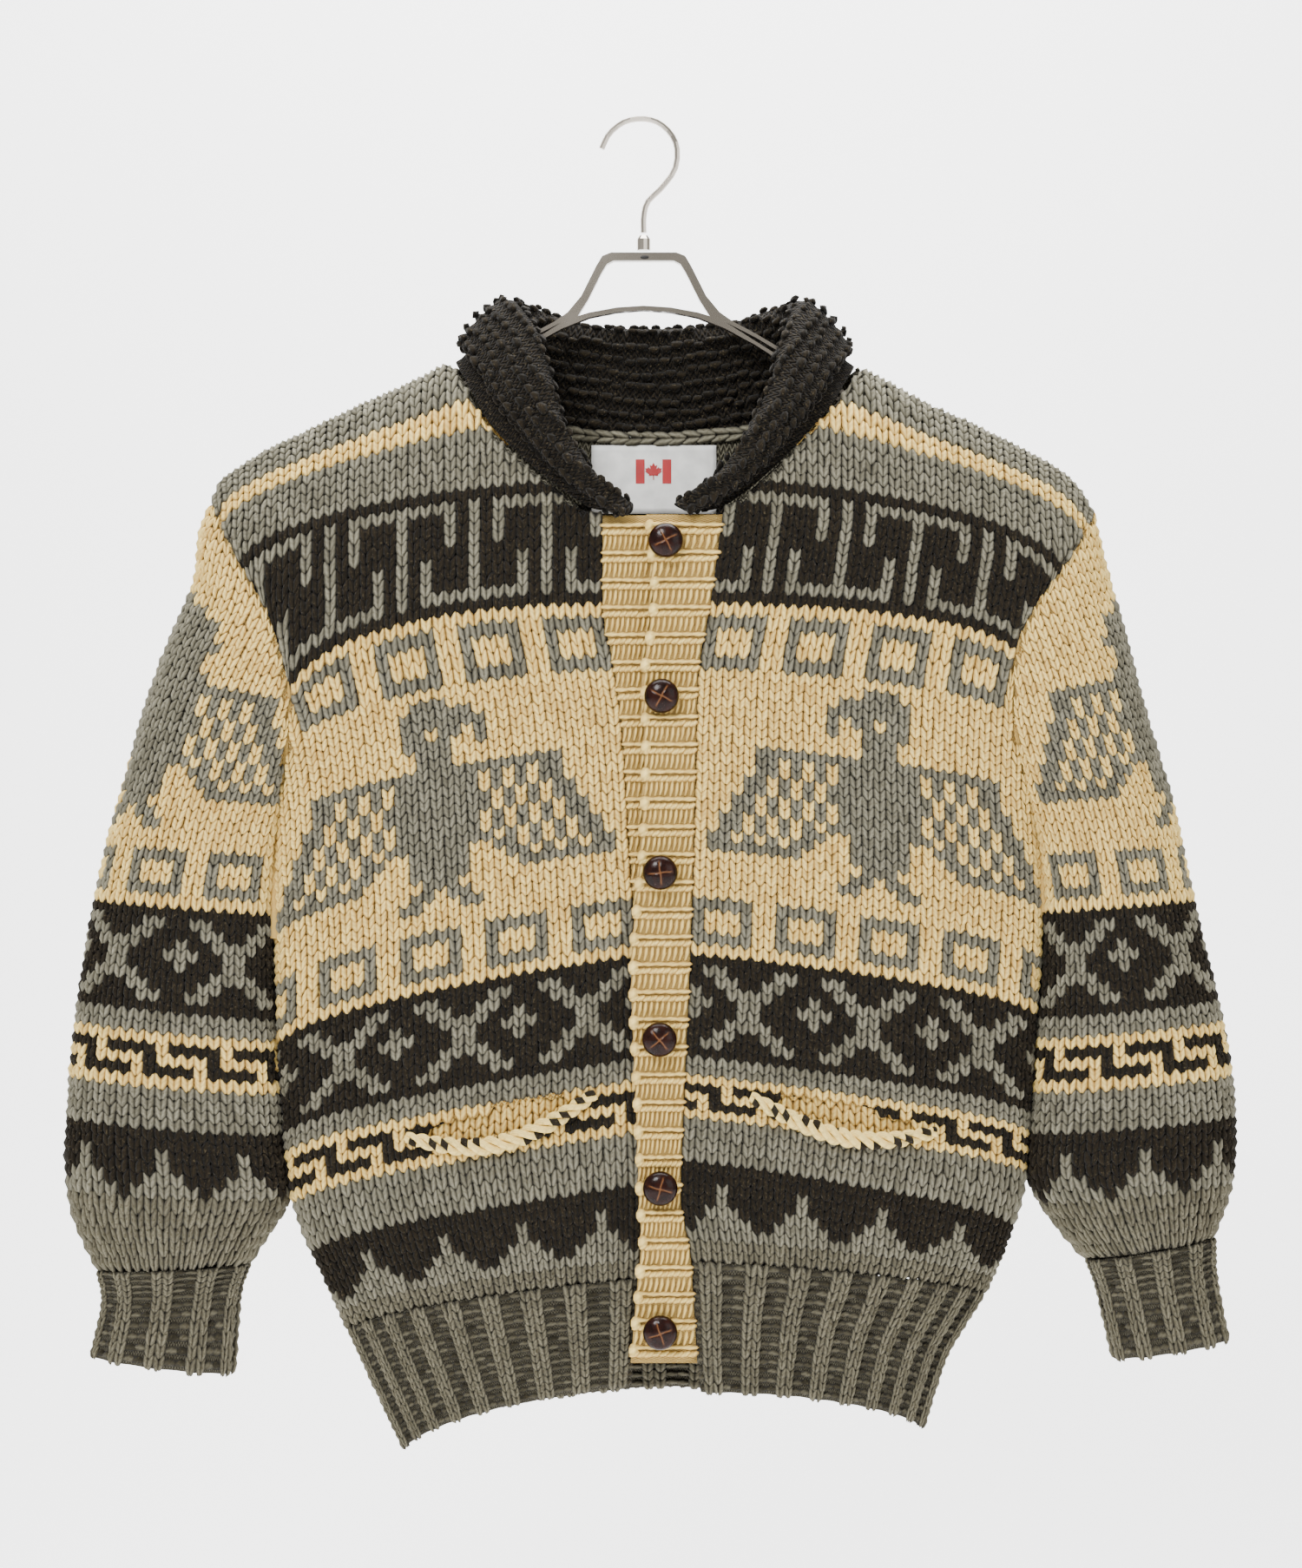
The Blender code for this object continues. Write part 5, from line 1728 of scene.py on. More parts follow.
    def build(self) -> list[Piece]:
        """Make the sleeve and return its pieces.

        Returns:
            Its pieces.
        """
        name = "sleeve_" + self.side.value
        shell, stitches = self.kit.panel(
            name, [f"{name}_{part}" for part in ("upper", "elbow", "lower")], self.grid(),
            lambda r, c: Charts.sleeve(r, c, self.side), 31)
        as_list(stitches)
        return [shell, *stitches]


@dataclass
class Rib:
    """A 2 x 2 ribbed edge: raised pairs of stitch columns with bumps sunk between."""

    kit: Kit
    name: str
    surface: Callable[[Array, Array], Array]
    ribs: int
    rows: int
    outward: Optional[float]
    height: float = 3.4
    KNIT = (1, 2)

    @property
    def ring(self) -> bool:
        """Whether it closes round an arm, so that outwards isn't forwards or backwards."""
        return self.outward is None

    def lifted(self, columns: Array) -> Grid:
        """Grid of corners at some columns, with the ribs' relief.

        Args:
            columns: places across the ribs, 4 to a rib.

        Returns:
            The grid, facing outwards.
        """
        v = np.linspace(0.0, 1.0, self.rows + 1)
        flat = Grid(self.surface(v[:, None], columns[None]), columns[:-1], np.arange(self.rows))
        normals = flat.normals(self.ring)
        if self.ring:
            centre = flat.corners[:, :-1].mean(axis=1, keepdims=True)
            sign = 1.0 if ((flat.corners - centre) * normals).sum() > 0.0 else -1.0
        else:
            sign = -1.0 if normals[..., 1].mean() * self.outward < 0.0 else 1.0
        relief = self.height * (0.5 + 0.5 * np.cos((columns - 1.5) * np.pi / 2.0))
        flat.corners = flat.corners + normals * sign * relief[None, :, None]
        return flat if sign > 0.0 else flat.flipped()

    def build(self) -> tuple[Piece, Piece]:
        """Make the shell and the stitches.

        Returns:
            Both pieces.
        """
        slot, total = "heather_wool", 4 * self.ribs
        grid = self.lifted(np.arange(0.0, total + 0.01, 0.5))
        shell = grid.shell(self.name, Yarn.HEATHER, slot, self.kit.finishes.ground, sunk=1.4,
                           ring=self.ring)
        edges = np.arange(-0.5, total + 0.6, 1.0)
        cells = self.lifted(edges[:-1] if self.ring else np.clip(edges, 0.0, total))
        areas, frames = cells.areas(), cells.frames(-1.2)
        wide = areas > 0.4 * np.median(areas)
        raised = np.isin(np.rint(cells.column + 0.5).astype(int) % 4, self.KNIT)[None]
        work = Knitting(self.kit, self.name + "_stitches", 40 + self.ribs)
        work.stitches(frames.pick(raised & wide), Yarn.HEATHER)
        # The sunk purl bumps have lower tones: painted shade in the troughs between the ribs.
        work.bumps("purl", frames.pick(~raised & wide), Yarn.HEATHER, (0.0, 0.6))
        return shell, work.finish(slot)


@dataclass
class Hem:
    """Ribbed hem of the fronts and the back."""

    kit: Kit
    rows: int = 14
    top: float = 89.65
    bottom: float = 104.0

    def rib(self, name: str, ribs: int, place: Callable, outward: float) -> Rib:
        """One ribbed edge.

        Args:
            name: its ending.
            ribs: how many.
            place: gives the points at knitted rows and shares of the way along.
            outward: way it faces in y.

        Returns:
            The edge, ready to be built.
        """
        def surface(v: Array, q: Array) -> Array:
            """Points at shares of the way down and at columns along."""
            row = self.top + (self.bottom - self.top) * v
            return place(*np.broadcast_arrays(row, np.clip(q / (4.0 * ribs), 0.0, 1.0)))
        return Rib(self.kit, "hem_rib_" + name, surface, ribs, self.rows, outward)

    def front(self, side: Side) -> list[Piece]:
        """Make the hem of one front.

        Args:
            side: which front.

        Returns:
            Its pieces.
        """
        half = self.kit.body[side]
        shell, stitches = self.rib(side.value, 9, lambda row, share: half.place(
            Face.FRONT, row, share), -1.0).build()
        return [shell, stitches]

    def back(self) -> list[Piece]:
        """Make the hem of the back.

        Returns:
            Its pieces.
        """
        def place(row: Array, share: Array) -> Array:
            """Points at rows and shares of the way from the left to the right.

            Args:
                row: rows as the solids count them.
                share: shares of the way.

            Returns:
                The points.
            """
            share = 2.0 * share - 1.0
            left, right = (half.place(Face.BACK, row, np.clip(way * share, 0.0, 1.0))
                           for half, way in zip(self.kit.body.values(), (-1.0, 1.0)))
            return np.where(share[..., None] < 0.0, left, right)

        rib = self.rib("back", 16, place, 1.0)
        shell, stitches = rib.build()
        inner = self.inside(rib.surface)
        return [shell, stitches, inner]

    def inside(self, surface: Callable[[Array, Array], Array]) -> Piece:
        """Stitches on the inner side of the back's hem, seen below the bands.

        Args:
            surface: surface of the back's hem.

        Returns:
            The piece.
        """
        columns = np.arange(22.5, 44.0)
        corners = surface(np.linspace(0.0, 1.0, self.rows + 1)[:, None], columns[None])
        rise = 3.0 * (0.5 + 0.5 * np.cos((columns - 3.5) * np.pi / 2.0))
        corners[..., 1] -= WALL - 2.0 + rise[None]
        cells = Grid(corners, columns[:-1] + 0.5, np.arange(self.rows)).facing(-1.0)
        knit = np.isin(np.rint(cells.column).astype(int) % 4, (3, 0))
        knit = np.broadcast_to(knit, (self.rows, len(knit)))
        frames = cells.frames(-0.5)
        work = Knitting(self.kit, "hem_inside_stitches", 47)
        work.stitches(frames.pick(knit), Yarn.HEATHER)
        # The purl bumps have lower tones: painted shade where they lie sunk between the ribs.
        work.bumps("purl", frames.pick(~knit), Yarn.HEATHER, (0.2, 0.8))
        return work.finish("heather_wool")


@dataclass
class Cuff:
    """Ribbed cuff of one sleeve."""

    kit: Kit
    side: Side
    ribs: int = 10
    rows: int = 11

    def surface(self, v: Array, q: Array) -> Array:
        """Points at shares of the way down and at columns round the arm.

        Args:
            v: shares of the way down.
            q: columns.

        Returns:
            The points, rows first.
        """
        table = np.array(CUFFS[self.side])
        turn = q.ravel() / (4.0 * self.ribs) * TURN
        rows = spline(table, v.ravel() * (len(table) - 1.0))
        return np.stack([oval(row, turn) for row in rows])

    def build(self) -> list[Piece]:
        """Make the cuff and return its pieces.

        Returns:
            Its pieces.
        """
        shell, stitches = Rib(self.kit, "cuff_" + self.side.value, self.surface, self.ribs,
                              self.rows, None, height=3.0).build()
        return [shell, stitches]


@dataclass
class Band:
    """A button band of level 2 x 2 ribs; its stitch columns run across it."""

    kit: Kit
    over: bool
    top: float = -293.5
    bottom: float = -908.0
    pitch: float = 20.0
    width: float = 38.0
    gap: float = 0.8
    ridge: float = 1.9
    WIDTHS = ((-293.0, 56.0), (-358.0, 42.5), (-412.0, 40.0), (-484.0, 37.5),
              (-540.0, 39.0), (-612.0, 43.0), (-722.0, 35.0), (-790.0, 31.0),
              (-845.0, 40.0), (-908.0, 49.0))

    @property
    def ribs(self) -> int:
        """How many level ribs it has."""
        return round((self.top - self.bottom) / self.pitch)

    def surface(self, z: Array, share: Array) -> Array:
        """Points of the band at heights and shares of the way from its seam.

        Args:
            z: heights.
            share: shares of the way across.

        Returns:
            The points.
        """
        edge = self.kit.body[Side.RIGHT if self.over else Side.LEFT].edge(z)
        if self.over:
            start, end = edge - self.gap, edge - Curve(self.WIDTHS)(z)
        else:
            start, end = edge + self.gap, edge + self.width
        x = start + (end - start) * share
        z = np.broadcast_to(z, x.shape)
        y = self.kit.body.depth(Face.FRONT, x, z) - (LAP if self.over else 0.0)
        return np.stack((x, y, z), axis=-1)

    def relief(self, z: Array) -> Array:
        """Height of the level ribs."""
        turns = (self.top - z) / (self.top - self.bottom) * self.ribs
        return self.ridge * (0.5 - 0.5 * np.cos(turns * TURN))

    def row(self, z: Array, height: float, count: int, thick: float, sunk: float) -> Frames:
        """Level rows of cells across the band.

        Args:
            z: height of each row's middle.
            height: of the cells.
            count: cells in a row.
            thick: length of their outward direction.
            sunk: how far they lie under the band's face.

        Returns:
            The cells, with the rows' heights and the counts joined in one axis.
        """
        share = np.broadcast_to((np.arange(count) + 0.5) / count, (len(z), count)).ravel()
        z = np.repeat(z, count)
        half = 0.5 / count
        centre = self.surface(z, share) + np.array((0.0, sunk, 0.0))
        across = self.surface(z, share - half) - self.surface(z, share + half)
        across = across * np.where(across[:, :1] > 0.0, -1.0, 1.0)
        down = np.broadcast_to((0.0, 0.0, -height), centre.shape)
        return Frames(centre, across, down, unit(np.cross(across, down)) * thick)

    def build(self) -> list[Piece]:
        """Make the band and return its pieces.

        Returns:
            Its pieces.
        """
        name = "band_over" if self.over else "band_under"
        z = np.linspace(self.top, self.bottom, self.ribs * 8 + 1)[:, None]
        corners = self.surface(z, np.linspace(0.0, 1.0, 7)[None])
        corners[..., 1] -= self.relief(z)
        shell = Grid.plain(corners, -1.0).shell(name, Yarn.CREAM, "cream_wool",
                                                self.kit.finishes.ground)
        step = (self.top - self.bottom) / self.ribs
        ridges = self.top - step * (np.arange(self.ribs) + 0.5)
        grooves = self.top - step * np.arange(1, self.ribs)
        raised = -self.relief(ridges[0]) + 0.4
        rows = {"cord": self.row(ridges + 2.4, 3.8, 5, 4.6, raised),
                "rope": self.row(ridges - 2.5, 5.0, 9, 4.8, raised),
                "strand": self.row(grooves, 11.5, 10, 4.2, 0.6)}
        if self.over:
            edge = self.row(ridges, 13.0, 1, 6.0, raised + 0.6)
            edge.centre[:, 0] = self.surface(ridges, np.full(self.ribs, 0.97))[:, 0]
            edge.across[:] = (-8.5, 0.0, 0.0)
            rows["knob"] = edge
        work = Knitting(self.kit, name + "_stitches", 61 + self.over)
        for kind, frames in rows.items():
            work.bumps(kind, frames, Yarn.CREAM, (0.7, 1.0))
        stitches = work.finish("cream_wool")
        return [shell, stitches]


@dataclass
class Collar:
    """Garter-stitch shawl collar: it stands round the neck and folds outwards."""

    kit: Kit
    wall: float = 7.0
    ridge: float = 10.0
    relief: float = 1.5
    start_gap: float = 2.4
    fall_gap: float = 2.0
    pitch: float = 8.6
    samples: int = 57
    fine: int = 6
    FOLD_RADIUS = (4.5, 8.5)
    FINE_FROM = 5
    BACK_STATIONS = range(7, 12)
    # x and z of the seam; x, y and z of the fold; share of the stand that falls back.
    TABLE = ((-23, -291.8, -8, -47, -288, 0.55), (-40, -289.6, -20.6, -49, -279, 0.6),
             (-66, -272, -42, -49, -257, 0.66), (-92, -250, -59, -47, -227, 0.7),
             (-114, -226, -68, -39, -194, 0.76), (-129, -198, -77, -23, -164, 0.82),
             (-139, -178, -92, 4, -138, 0.84), (-110, -205, -74, 27, -139, 0.82),
             (-60, -226, -44, 34, -147, 0.82), (8, -230, 8, 36, -150, 0.78),
             (75, -226, 60, 34, -146, 0.82), (128, -205, 92, 27, -139, 0.82),
             (158, -181, 110, 4, -139, 0.84), (148.8, -198.4, 102, -23, -169, 0.82),
             (140, -213, 94, -38, -202, 0.76), (118, -239, 78, -47, -233, 0.7),
             (92, -265, 62, -49, -259, 0.66), (64, -287, 40, -49, -276, 0.6),
             (48, -292, 26, -47, -287, 0.55))

    def stations(self) -> tuple[Array, Array, Array]:
        """Seams, folds, and shares and fold radii along the neckline.

        Returns:
            The seams' points, the folds' points, and pairs of share and radius.
        """
        seams, folds, forms = [], [], []
        last = len(self.TABLE) - 1
        small, large = self.FOLD_RADIUS
        for i, (x, z, *fold, share) in enumerate(self.TABLE):
            face = Face.BACK if i in self.BACK_STATIONS else Face.FRONT
            seams.append((x, float(self.kit.body.depth(face, x, z)), z))
            folds.append(fold)
            end = min(i, last - i) / (self.FINE_FROM + 1)
            forms.append((share, small + (large - small) * float(ease(end))))
        places = np.linspace(0.0, last, last * self.fine + 1)
        return tuple(spline(values, places) for values in (seams, folds, forms))

    def lines(self) -> tuple[Array, Array]:
        """Middle line of the cloth at every station, and its ridged face's direction.

        Returns:
            Points and directions, stations first.
        """
        seams, folds, forms = self.stations()
        tangents = np.gradient(seams, axis=0)
        middles, faces = [], []
        for seam, fold, (share, radius), tangent in zip(seams, folds, forms, tangents):
            stand = fold - seam
            rise = unit(stand)
            normal = unit(np.cross(stand, tangent))
            out = unit(normal - rise * (normal @ rise))
            start = seam + rise * self.start_gap - out * (self.wall / 2.0)
            crest = fold - out * (self.wall / 2.0)
            lift = out * (2.0 * radius)
            end = start + stand * (1.0 - share) + out * (self.wall + self.fall_gap)
            top = crest - rise * radius
            points = [start, start + (top - start) * 0.5 + out * 0.6, top,
                      crest - rise * (0.3 * radius) + out * (0.3 * radius),
                      crest + out * radius,
                      crest - rise * (0.3 * radius) + out * (1.7 * radius),
                      top + lift, (top + lift + end) * 0.5 + out * (0.25 * radius), end]
            line = spline(points, np.linspace(0.0, len(points) - 1.0, self.samples))
            lengths = along(line)
            line = resample(line, lengths, np.linspace(0.0, lengths[-1], self.samples))
            side = unit(np.cross(rise, out))
            middles.append(line)
            faces.append(unit(np.cross(unit(np.gradient(line, axis=0)), side)))
        return np.array(middles), np.array(faces)

    def build(self) -> list[Piece]:
        """Make the collar and return its pieces.

        Returns:
            Its pieces.
        """
        middles, faces = self.lines()
        lengths = np.array([along(line) for line in middles])
        back = lengths[:, -1:] - lengths
        wave = 0.5 - 0.5 * np.cos(back / self.ridge * TURN)
        upper = middles + faces * (self.wall / 2.0 - 1.6 + self.relief * wave)[..., None]
        lower = middles - faces * (self.wall / 2.0 - 1.4 - 0.6 * wave)[..., None]
        loop = np.concatenate((upper, lower[:, ::-1]), axis=1)
        count, size = loop.shape[:2]
        near = np.arange(self.samples - 1)
        far = size - 1 - near
        cap = np.stack((near, near + 1, far - 1, far), axis=-1)
        around = np.concatenate((quads(count - 1, size, size)[0], cap,
                                 cap + (count - 1) * size))
        station, place = around // size, around % size
        place = np.where(place < self.samples, place, size - 1 - place)
        steps = along(middles[:, self.samples // 2]) / 9.0
        layout = np.stack((steps[station], back[station, place] / self.ridge), axis=-1)
        piece = mesh_piece("collar_cloth", loop.reshape(-1, 3), around,
                           np.full(len(around), int(Yarn.DARK)), cells=layout)
        with editing(piece):
            bpy.ops.mesh.normals_make_consistent(inside=False)
        dress(piece, "brown_wool", self.kit.finishes.ground, ["collar"])
        stitches = self.bumps(middles, faces, back)
        return [piece, stitches]

    def bumps(self, middles: Array, faces: Array, back: Array) -> Piece:
        """Rows of purl bumps on the ridges and over the thickness of the outer edge.

        Args:
            middles: middle line of the cloth at every station.
            faces: direction of its ridged face.
            back: length from each point to the outer edge.

        Returns:
            The piece.
        """
        work = Knitting(self.kit, "collar_stitches", 51)
        for number in range(int(back[:, 0].max() / self.ridge) + 1):
            at = self.ridge * (number + 0.5)
            good = back[:, 0] >= at + 1.0
            place = np.full((3, len(back), 3), np.nan)
            for i in np.nonzero(good)[0]:
                here = resample(middles[i], -back[i], np.array([-at, -at + 2.0]))
                face = resample(faces[i], -back[i], np.array([-at]))[0]
                place[:, i] = here[0], face, here[1] - here[0]
            changes = np.nonzero(np.diff(good.astype(int)))[0] + 1
            for run in np.split(np.arange(len(back)), changes):
                if good[run[0]] and len(run) >= 4:
                    self.row(work, *place[:, run], self.wall / 2.0 - 0.9 + self.relief, 0.0,
                             (9.0, 8.0))
        for side in (-1.9, 1.9):
            self.row(work, middles[:, -1], middles[:, -1] - middles[:, -4], -faces[:, -1],
                     -0.6, side, (8.0, 7.0))
        return work.finish("brown_wool")

    def row(self, work: Knitting, line: Array, out: Array, down: Array, lift: float,
            side: float, size: tuple[float, float]) -> None:
        """One row of bumps.

        Args:
            work: the knitting that takes them.
            line: points along the row.
            out: outward direction at each.
            down: direction across the row at each.
            lift: how far they lie outside the line.
            side: how far they lie down from it.
            size: height and thickness of a bump.
        """
        lengths = along(line)
        number = max(int(lengths[-1] / self.pitch), 1)
        where = (np.arange(number) + 0.5) / number * lengths[-1]
        centre, normal, down = (resample(values, lengths, where)
                                for values in (line, out, down))
        normal, down = unit(normal), unit(down)
        step = unit(np.cross(normal, down)) * lengths[-1] / number
        centre = centre + down * side + normal * lift
        frames = Frames(centre, -step, down * size[0], normal * size[1])
        work.bumps("garter", frames, Yarn.DARK, (0.3, 1.0), 0.1)


@dataclass
class Seams:
    """Sunk seams that close the body against the sleeves."""

    kit: Kit
    radius: float = 4.5
    sunk: float = 6.0
    ROWS = (22.0, 48.0, 40)  # first and last row, and the points between

    def build(self) -> list[Piece]:
        """Make the four seams.

        Returns:
            The pieces.
        """
        made = []
        for side, half in self.kit.body.items():
            for face, way in ((Face.FRONT, 1.0), (Face.BACK, -1.0)):
                path = half.place(face, np.linspace(*self.ROWS), 1.0)
                path[:, 1] += self.sunk * way
                made.append(self.cord(f"armhole_seam_{side.value}_{face.value}", path))
        return made

    def cord(self, name: str, path: Array) -> Piece:
        """Round cord along a path.

        Args:
            name: its name.
            path: points along it.

        Returns:
            The piece.
        """
        curve = bpy.data.curves.new(name, "CURVE")
        curve.dimensions = "3D"
        line = curve.splines.new("POLY")
        line.points.add(len(path) - 1)
        line.points.foreach_set("co", np.insert(path * MM, 3, 1.0, axis=1).ravel())
        curve.bevel_depth = self.radius * MM
        curve.bevel_resolution = 2
        curve.use_fill_caps = True
        made = linked(name, curve)
        choose(made)
        bpy.ops.object.convert(target="MESH")
        # The ground's finish paints the cord darker than the stitches: painted shade in the sunk
        # seam.
        return dress(made, "cream_wool", [self.kit.finishes.ground[Yarn.CREAM]])


@dataclass
class Buttons:
    """Six woven leather buttons down the outer band."""

    kit: Kit
    diameter: float = 25.0
    thickness: float = 14.0
    band: float = 1.8
    turn: float = 0.6
    PLACES = ((17.0, -313.0), (14.0, -425.0), (13.0, -552.0), (12.5, -672.0), (13.0, -778.5),
              (13.0, -883.5))

    def knot(self) -> tuple[Array, Array, Array]:
        """Points, faces and tone of one button at the origin, facing -y.

        Returns:
            All three, in the order of the points or the faces.
        """
        ball = Bead.ball(48, 24)
        x, y, z = ball.points.T
        angle, reach = np.arctan2(y, x), np.hypot(x, y)
        away = np.abs(np.sin(2.0 * (angle + 0.25 * reach))) * reach
        crease = np.exp(-(away / 0.06) ** 2) * np.clip(1.9 - 2.0 * reach, 0.0, 1.0)
        face = np.clip(z * 2.0, 0.0, 1.0)
        size = 1.0 - 0.07 * crease * face
        height = np.sign(z) * np.abs(z) ** 0.9
        shaped = np.stack((x * self.diameter / 2.0, -height * size * self.thickness / 2.0,
                           y * self.diameter / 2.0), axis=-1)
        return shaped, ball.faces, 1.0 - np.clip(crease, 0.0, 1.0) * face

    def build(self) -> list[Piece]:
        """Make the buttons.

        Returns:
            The pieces.
        """
        points, faces, tone = self.knot()
        made = []
        for number, (x, z) in enumerate(self.PLACES, 1):
            band = float(self.kit.body.depth(Face.FRONT, x, z)) - LAP - self.band
            cos, sin = math.cos(self.turn * number), math.sin(self.turn * number)
            spun = np.stack((points[:, 0] * cos - points[:, 2] * sin, points[:, 1],
                             points[:, 0] * sin + points[:, 2] * cos), axis=-1)
            place = np.array((x, band - GAP - self.thickness / 2.0, z))
            piece = mesh_piece(f"leather_button_{number}", spun + place, faces, tone=tone)
            made.append(dress(piece, "brown_leather", [self.kit.finishes.leather],
                              [f"button_{number}"]))
        return made


@dataclass
class NeckLabel:
    """Plain satin label with a small flag, sewn inside the back below the neck."""

    kit: Kit
    left: float = -38.0
    right: float = 55.0
    low: float = -287.0
    high: float = -236.0
    clear: float = 1.6
    printed: float = 0.25
    FLAG = (-5.0, 21.5, -264.5, -246.5)  # x and z of its edges
    LEAF_SIZE = 6.6
    LEAF = ((0.0, 1.0), (0.2, 0.62), (0.42, 0.74), (0.34, 0.28), (0.6, 0.5), (0.68, 0.34),
            (0.95, 0.36), (0.84, 0.08), (0.96, 0.0), (0.5, -0.34), (0.54, -0.5),
            (0.06, -0.44), (0.06, -0.95))

    def surface(self, x: Array, z: Array, lift: float) -> Array:
        """Points of the label's front at x and z."""
        y = self.kit.body.depth(Face.BACK, x, z)
        return np.stack((x, y - WALL - self.clear - lift, z), axis=-1)

    def patch(self, name: str, outline: Sequence[tuple[float, float]]) -> Piece:
        """Flat printed shape a hair above the label.

        Args:
            name: its name.
            outline: x and z of its corners in order.

        Returns:
            The piece.
        """
        points = self.surface(*np.array(outline).T, self.printed)
        mesh = bpy.data.meshes.new(name)
        mesh.from_pydata([Vector(p) * MM for p in points], [], [tuple(range(len(points)))])
        made = linked(name, mesh)
        with editing(made):
            bpy.ops.mesh.quads_convert_to_tris()
        apply_modifier(made, "SOLIDIFY", thickness=0.0002, offset=0.0)
        return dress(made, "white_satin", [self.kit.finishes.flag_red])

    def build(self) -> list[Piece]:
        """Make the label and return its pieces.

        Returns:
            Its pieces.
        """
        x, z = np.broadcast_arrays(np.linspace(self.left, self.right, 25)[None],
                                   np.linspace(self.high, self.low, 13)[:, None])
        grid = Grid.plain(self.surface(x, z, 0.0), -1.0)
        piece = grid.shell("neck_label", Yarn.GREY, "white_satin", [self.kit.finishes.satin],
                           depth=0.8, sunk=0.0)
        x1, x2, z1, z2 = self.FLAG
        bar = (x2 - x1) / 4.0
        flag = [self.patch(f"flag_bar_{n}", ((a, z2), (a, z1), (b, z1), (b, z2)))
                for n, (a, b) in enumerate(((x1, x1 + bar), (x2 - bar, x2)), 1)]
        left_half = [(-a, b) for a, b in reversed(self.LEAF) if a > 0.0]
        x, z = (x1 + x2) / 2.0, (z1 + z2) / 2.0
        flag.append(self.patch("flag_leaf", [(x + a * self.LEAF_SIZE, z + b * self.LEAF_SIZE)
                                             for a, b in (*self.LEAF, *left_half)]))
        return [piece, *flag]


@dataclass
class Hanger:
    """Finishes of the hanger, whose solids have its real shape."""

    finishes: Finishes
    HOLE_SIZE = (3.2, 0.5, 1.4)
    HOLE_PLACE = (1.7, -4.0, -100.6)

    def dress(self) -> list[Piece]:
        """Give the solids their finishes and darken the screw opening in the top bar with a patch
        of painted shade.

        Returns:
            The pieces added.
        """
        for node, finish in (("hanger_frame", self.finishes.smoky),
                             ("hanger_ferrule", self.finishes.nickel),
                             ("hanger_hook", self.finishes.nickel)):
            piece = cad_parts[node]
            for slot in piece.material_slots:
                slot.material = finish
            if not piece.material_slots:
                piece.data.materials.append(finish)
        # A flat dark patch in the top bar: painted shade where its screw opening is.
        hole_shade = sphere(20, 10)
        hole_shade.name = hole_shade.data.name = "hanger_hole_shade"
        hole_shade.scale = Vector(self.HOLE_SIZE) * MM
        hole_shade.location = Vector(self.HOLE_PLACE) * MM
        bpy.ops.object.transform_apply(location=True, rotation=True, scale=True)
        return [dress(hole_shade, "smoky_metal", [self.finishes.hole_shade])]


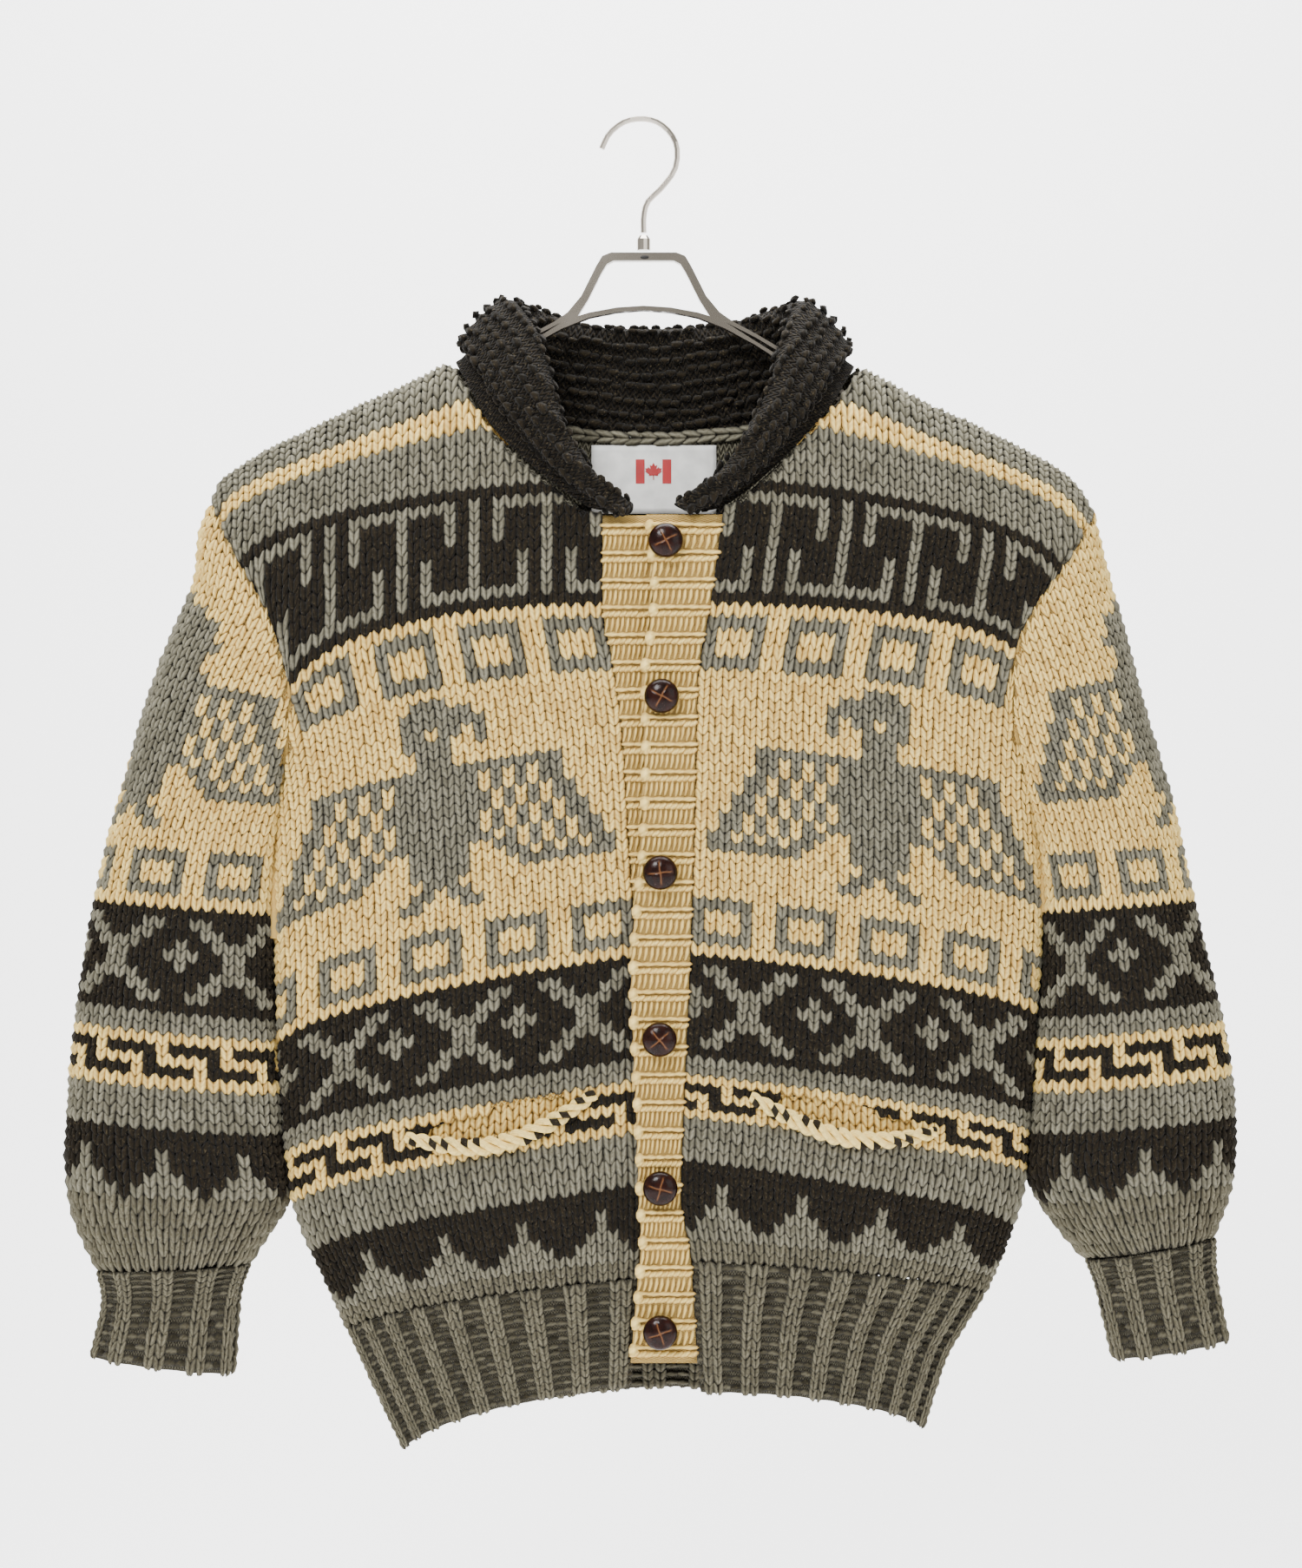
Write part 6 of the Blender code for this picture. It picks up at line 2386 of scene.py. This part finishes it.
# ------------------------------------------------------------------ studio
@dataclass
class Studio:
    """Pale floor and backdrop, soft lights and the camera, in metres."""

    centre: tuple[float, float, float] = (0.0064, 0.0, -0.4883)
    distance: float = 2.4
    height: float = 1.156
    floor: float = -1.3
    reach: float = 4.0
    behind: float = 0.7
    sweep: float = 1.2
    SKY = ((1.0, 0.985, 0.96, 1.0), 0.62)
    # Place, aim, size and power in watts of each lamp.
    LAMPS = {"key": ((-0.9, -2.2, 1.2), (0.0, 0.0, -0.45), 0.9, 95.0),
             "fill": ((1.9, -2.0, 0.1), (0.0, 0.0, -0.5), 1.8, 20.0),
             "top": ((0.1, -0.2, 1.6), (0.0, 0.0, -0.4), 1.6, 18.0),
             "backdrop": ((0.0, 0.45, 1.5), (0.0, 1.9, -0.6), 2.0, 160.0)}

    def stage(self) -> None:
        """A pale floor that sweeps up behind the object in a quarter circle."""
        turn = np.linspace(0.0, np.pi / 2.0, 33)
        arc = np.stack((self.behind + self.sweep * np.sin(turn),
                        self.sweep * (1.0 - np.cos(turn))), axis=-1)
        line = np.concatenate(([(-self.reach, 0.0)], arc, [(arc[-1, 0], self.reach)]))
        points = np.array([(x, y, self.floor + z) for y, z in line
                           for x in (-self.reach, self.reach)])
        piece = mesh_piece("floor", points / MM, quads(len(line) - 1, 1, 2)[0])
        bench = Bench("pale_floor")
        tone = bench.mix(bench.noise(3.0), (250, 250, 250), (246, 246, 247))
        white = (1.0, 1.0, 1.0, 1.0)
        piece.data.materials.append(bench.finish({
            "Base Color": tone, "Roughness": 0.9, "Emission Color": white,
            "Emission Strength": 0.8}))

    @staticmethod
    def light(name: str, place: Sequence[float], aim: Sequence[float], size: float,
              power: float) -> None:
        """One soft square lamp.

        Args:
            name: its name.
            place: where it stands.
            aim: what it looks at.
            size: its side.
            power: its power in watts.
        """
        data = bpy.data.lights.new(name, "AREA")
        data.shape, data.size, data.energy = "SQUARE", size, power
        lamp = linked(name, data)
        lamp.location = place
        lamp.rotation_euler = (Vector(aim) - Vector(place)).to_track_quat("-Z", "Y").to_euler()

    def camera(self) -> None:
        """Level camera before the front."""
        data = bpy.data.cameras.new("camera")
        data.sensor_fit = "VERTICAL"
        data.sensor_height = 24.0
        data.lens = data.sensor_height * self.distance / self.height
        made = linked("camera", data)
        made.location = (self.centre[0], -self.distance, self.centre[2])
        made.rotation_euler = (math.pi / 2.0, 0.0, 0.0)
        bpy.context.scene.camera = made

    def build(self) -> None:
        """Set the whole studio up."""
        self.camera()
        self.stage()
        for name, values in self.LAMPS.items():
            self.light(name, *values)
        world = bpy.data.worlds.new("soft_sky")
        world.use_nodes = True
        background = world.node_tree.nodes["Background"]
        for number, value in enumerate(self.SKY):
            background.inputs[number].default_value = value
        bpy.context.scene.world = world


def report(pieces: Sequence[Piece]) -> int:
    """Log each piece and its triangles.

    Args:
        pieces: the pieces.

    Returns:
        Their triangles.
    """
    total = 0
    for piece in pieces:
        count = sum(len(p.vertices) - 2 for p in piece.data.polygons)
        total += count
        LOG.info("%s: %d triangles", piece.name, count)
    return total


def main() -> None:
    """Build and dress every piece."""
    logging.basicConfig(level=logging.INFO, format="%(message)s")
    kit = Kit(Body(), Beads(), Finishes())
    Studio().build()
    total = 0
    fronts, hem = Fronts(kit), Hem(kit)
    for side in Side:
        total += report(fronts.build(side))
        total += report(hem.front(side))
        total += report(Sleeve(kit, side).build())
        total += report(Cuff(kit, side).build())
    total += report(Back(kit).build())
    total += report(hem.back())
    for over in (False, True):
        total += report(Band(kit, over).build())
    for maker in (Collar(kit), Seams(kit), Buttons(kit), NeckLabel(kit)):
        total += report(maker.build())
    total += report(Hanger(kit.finishes).dress())
    LOG.info("added triangles: %d", total)
    bpy.context.view_layer.update()


if __name__ == "__main__":
    main()
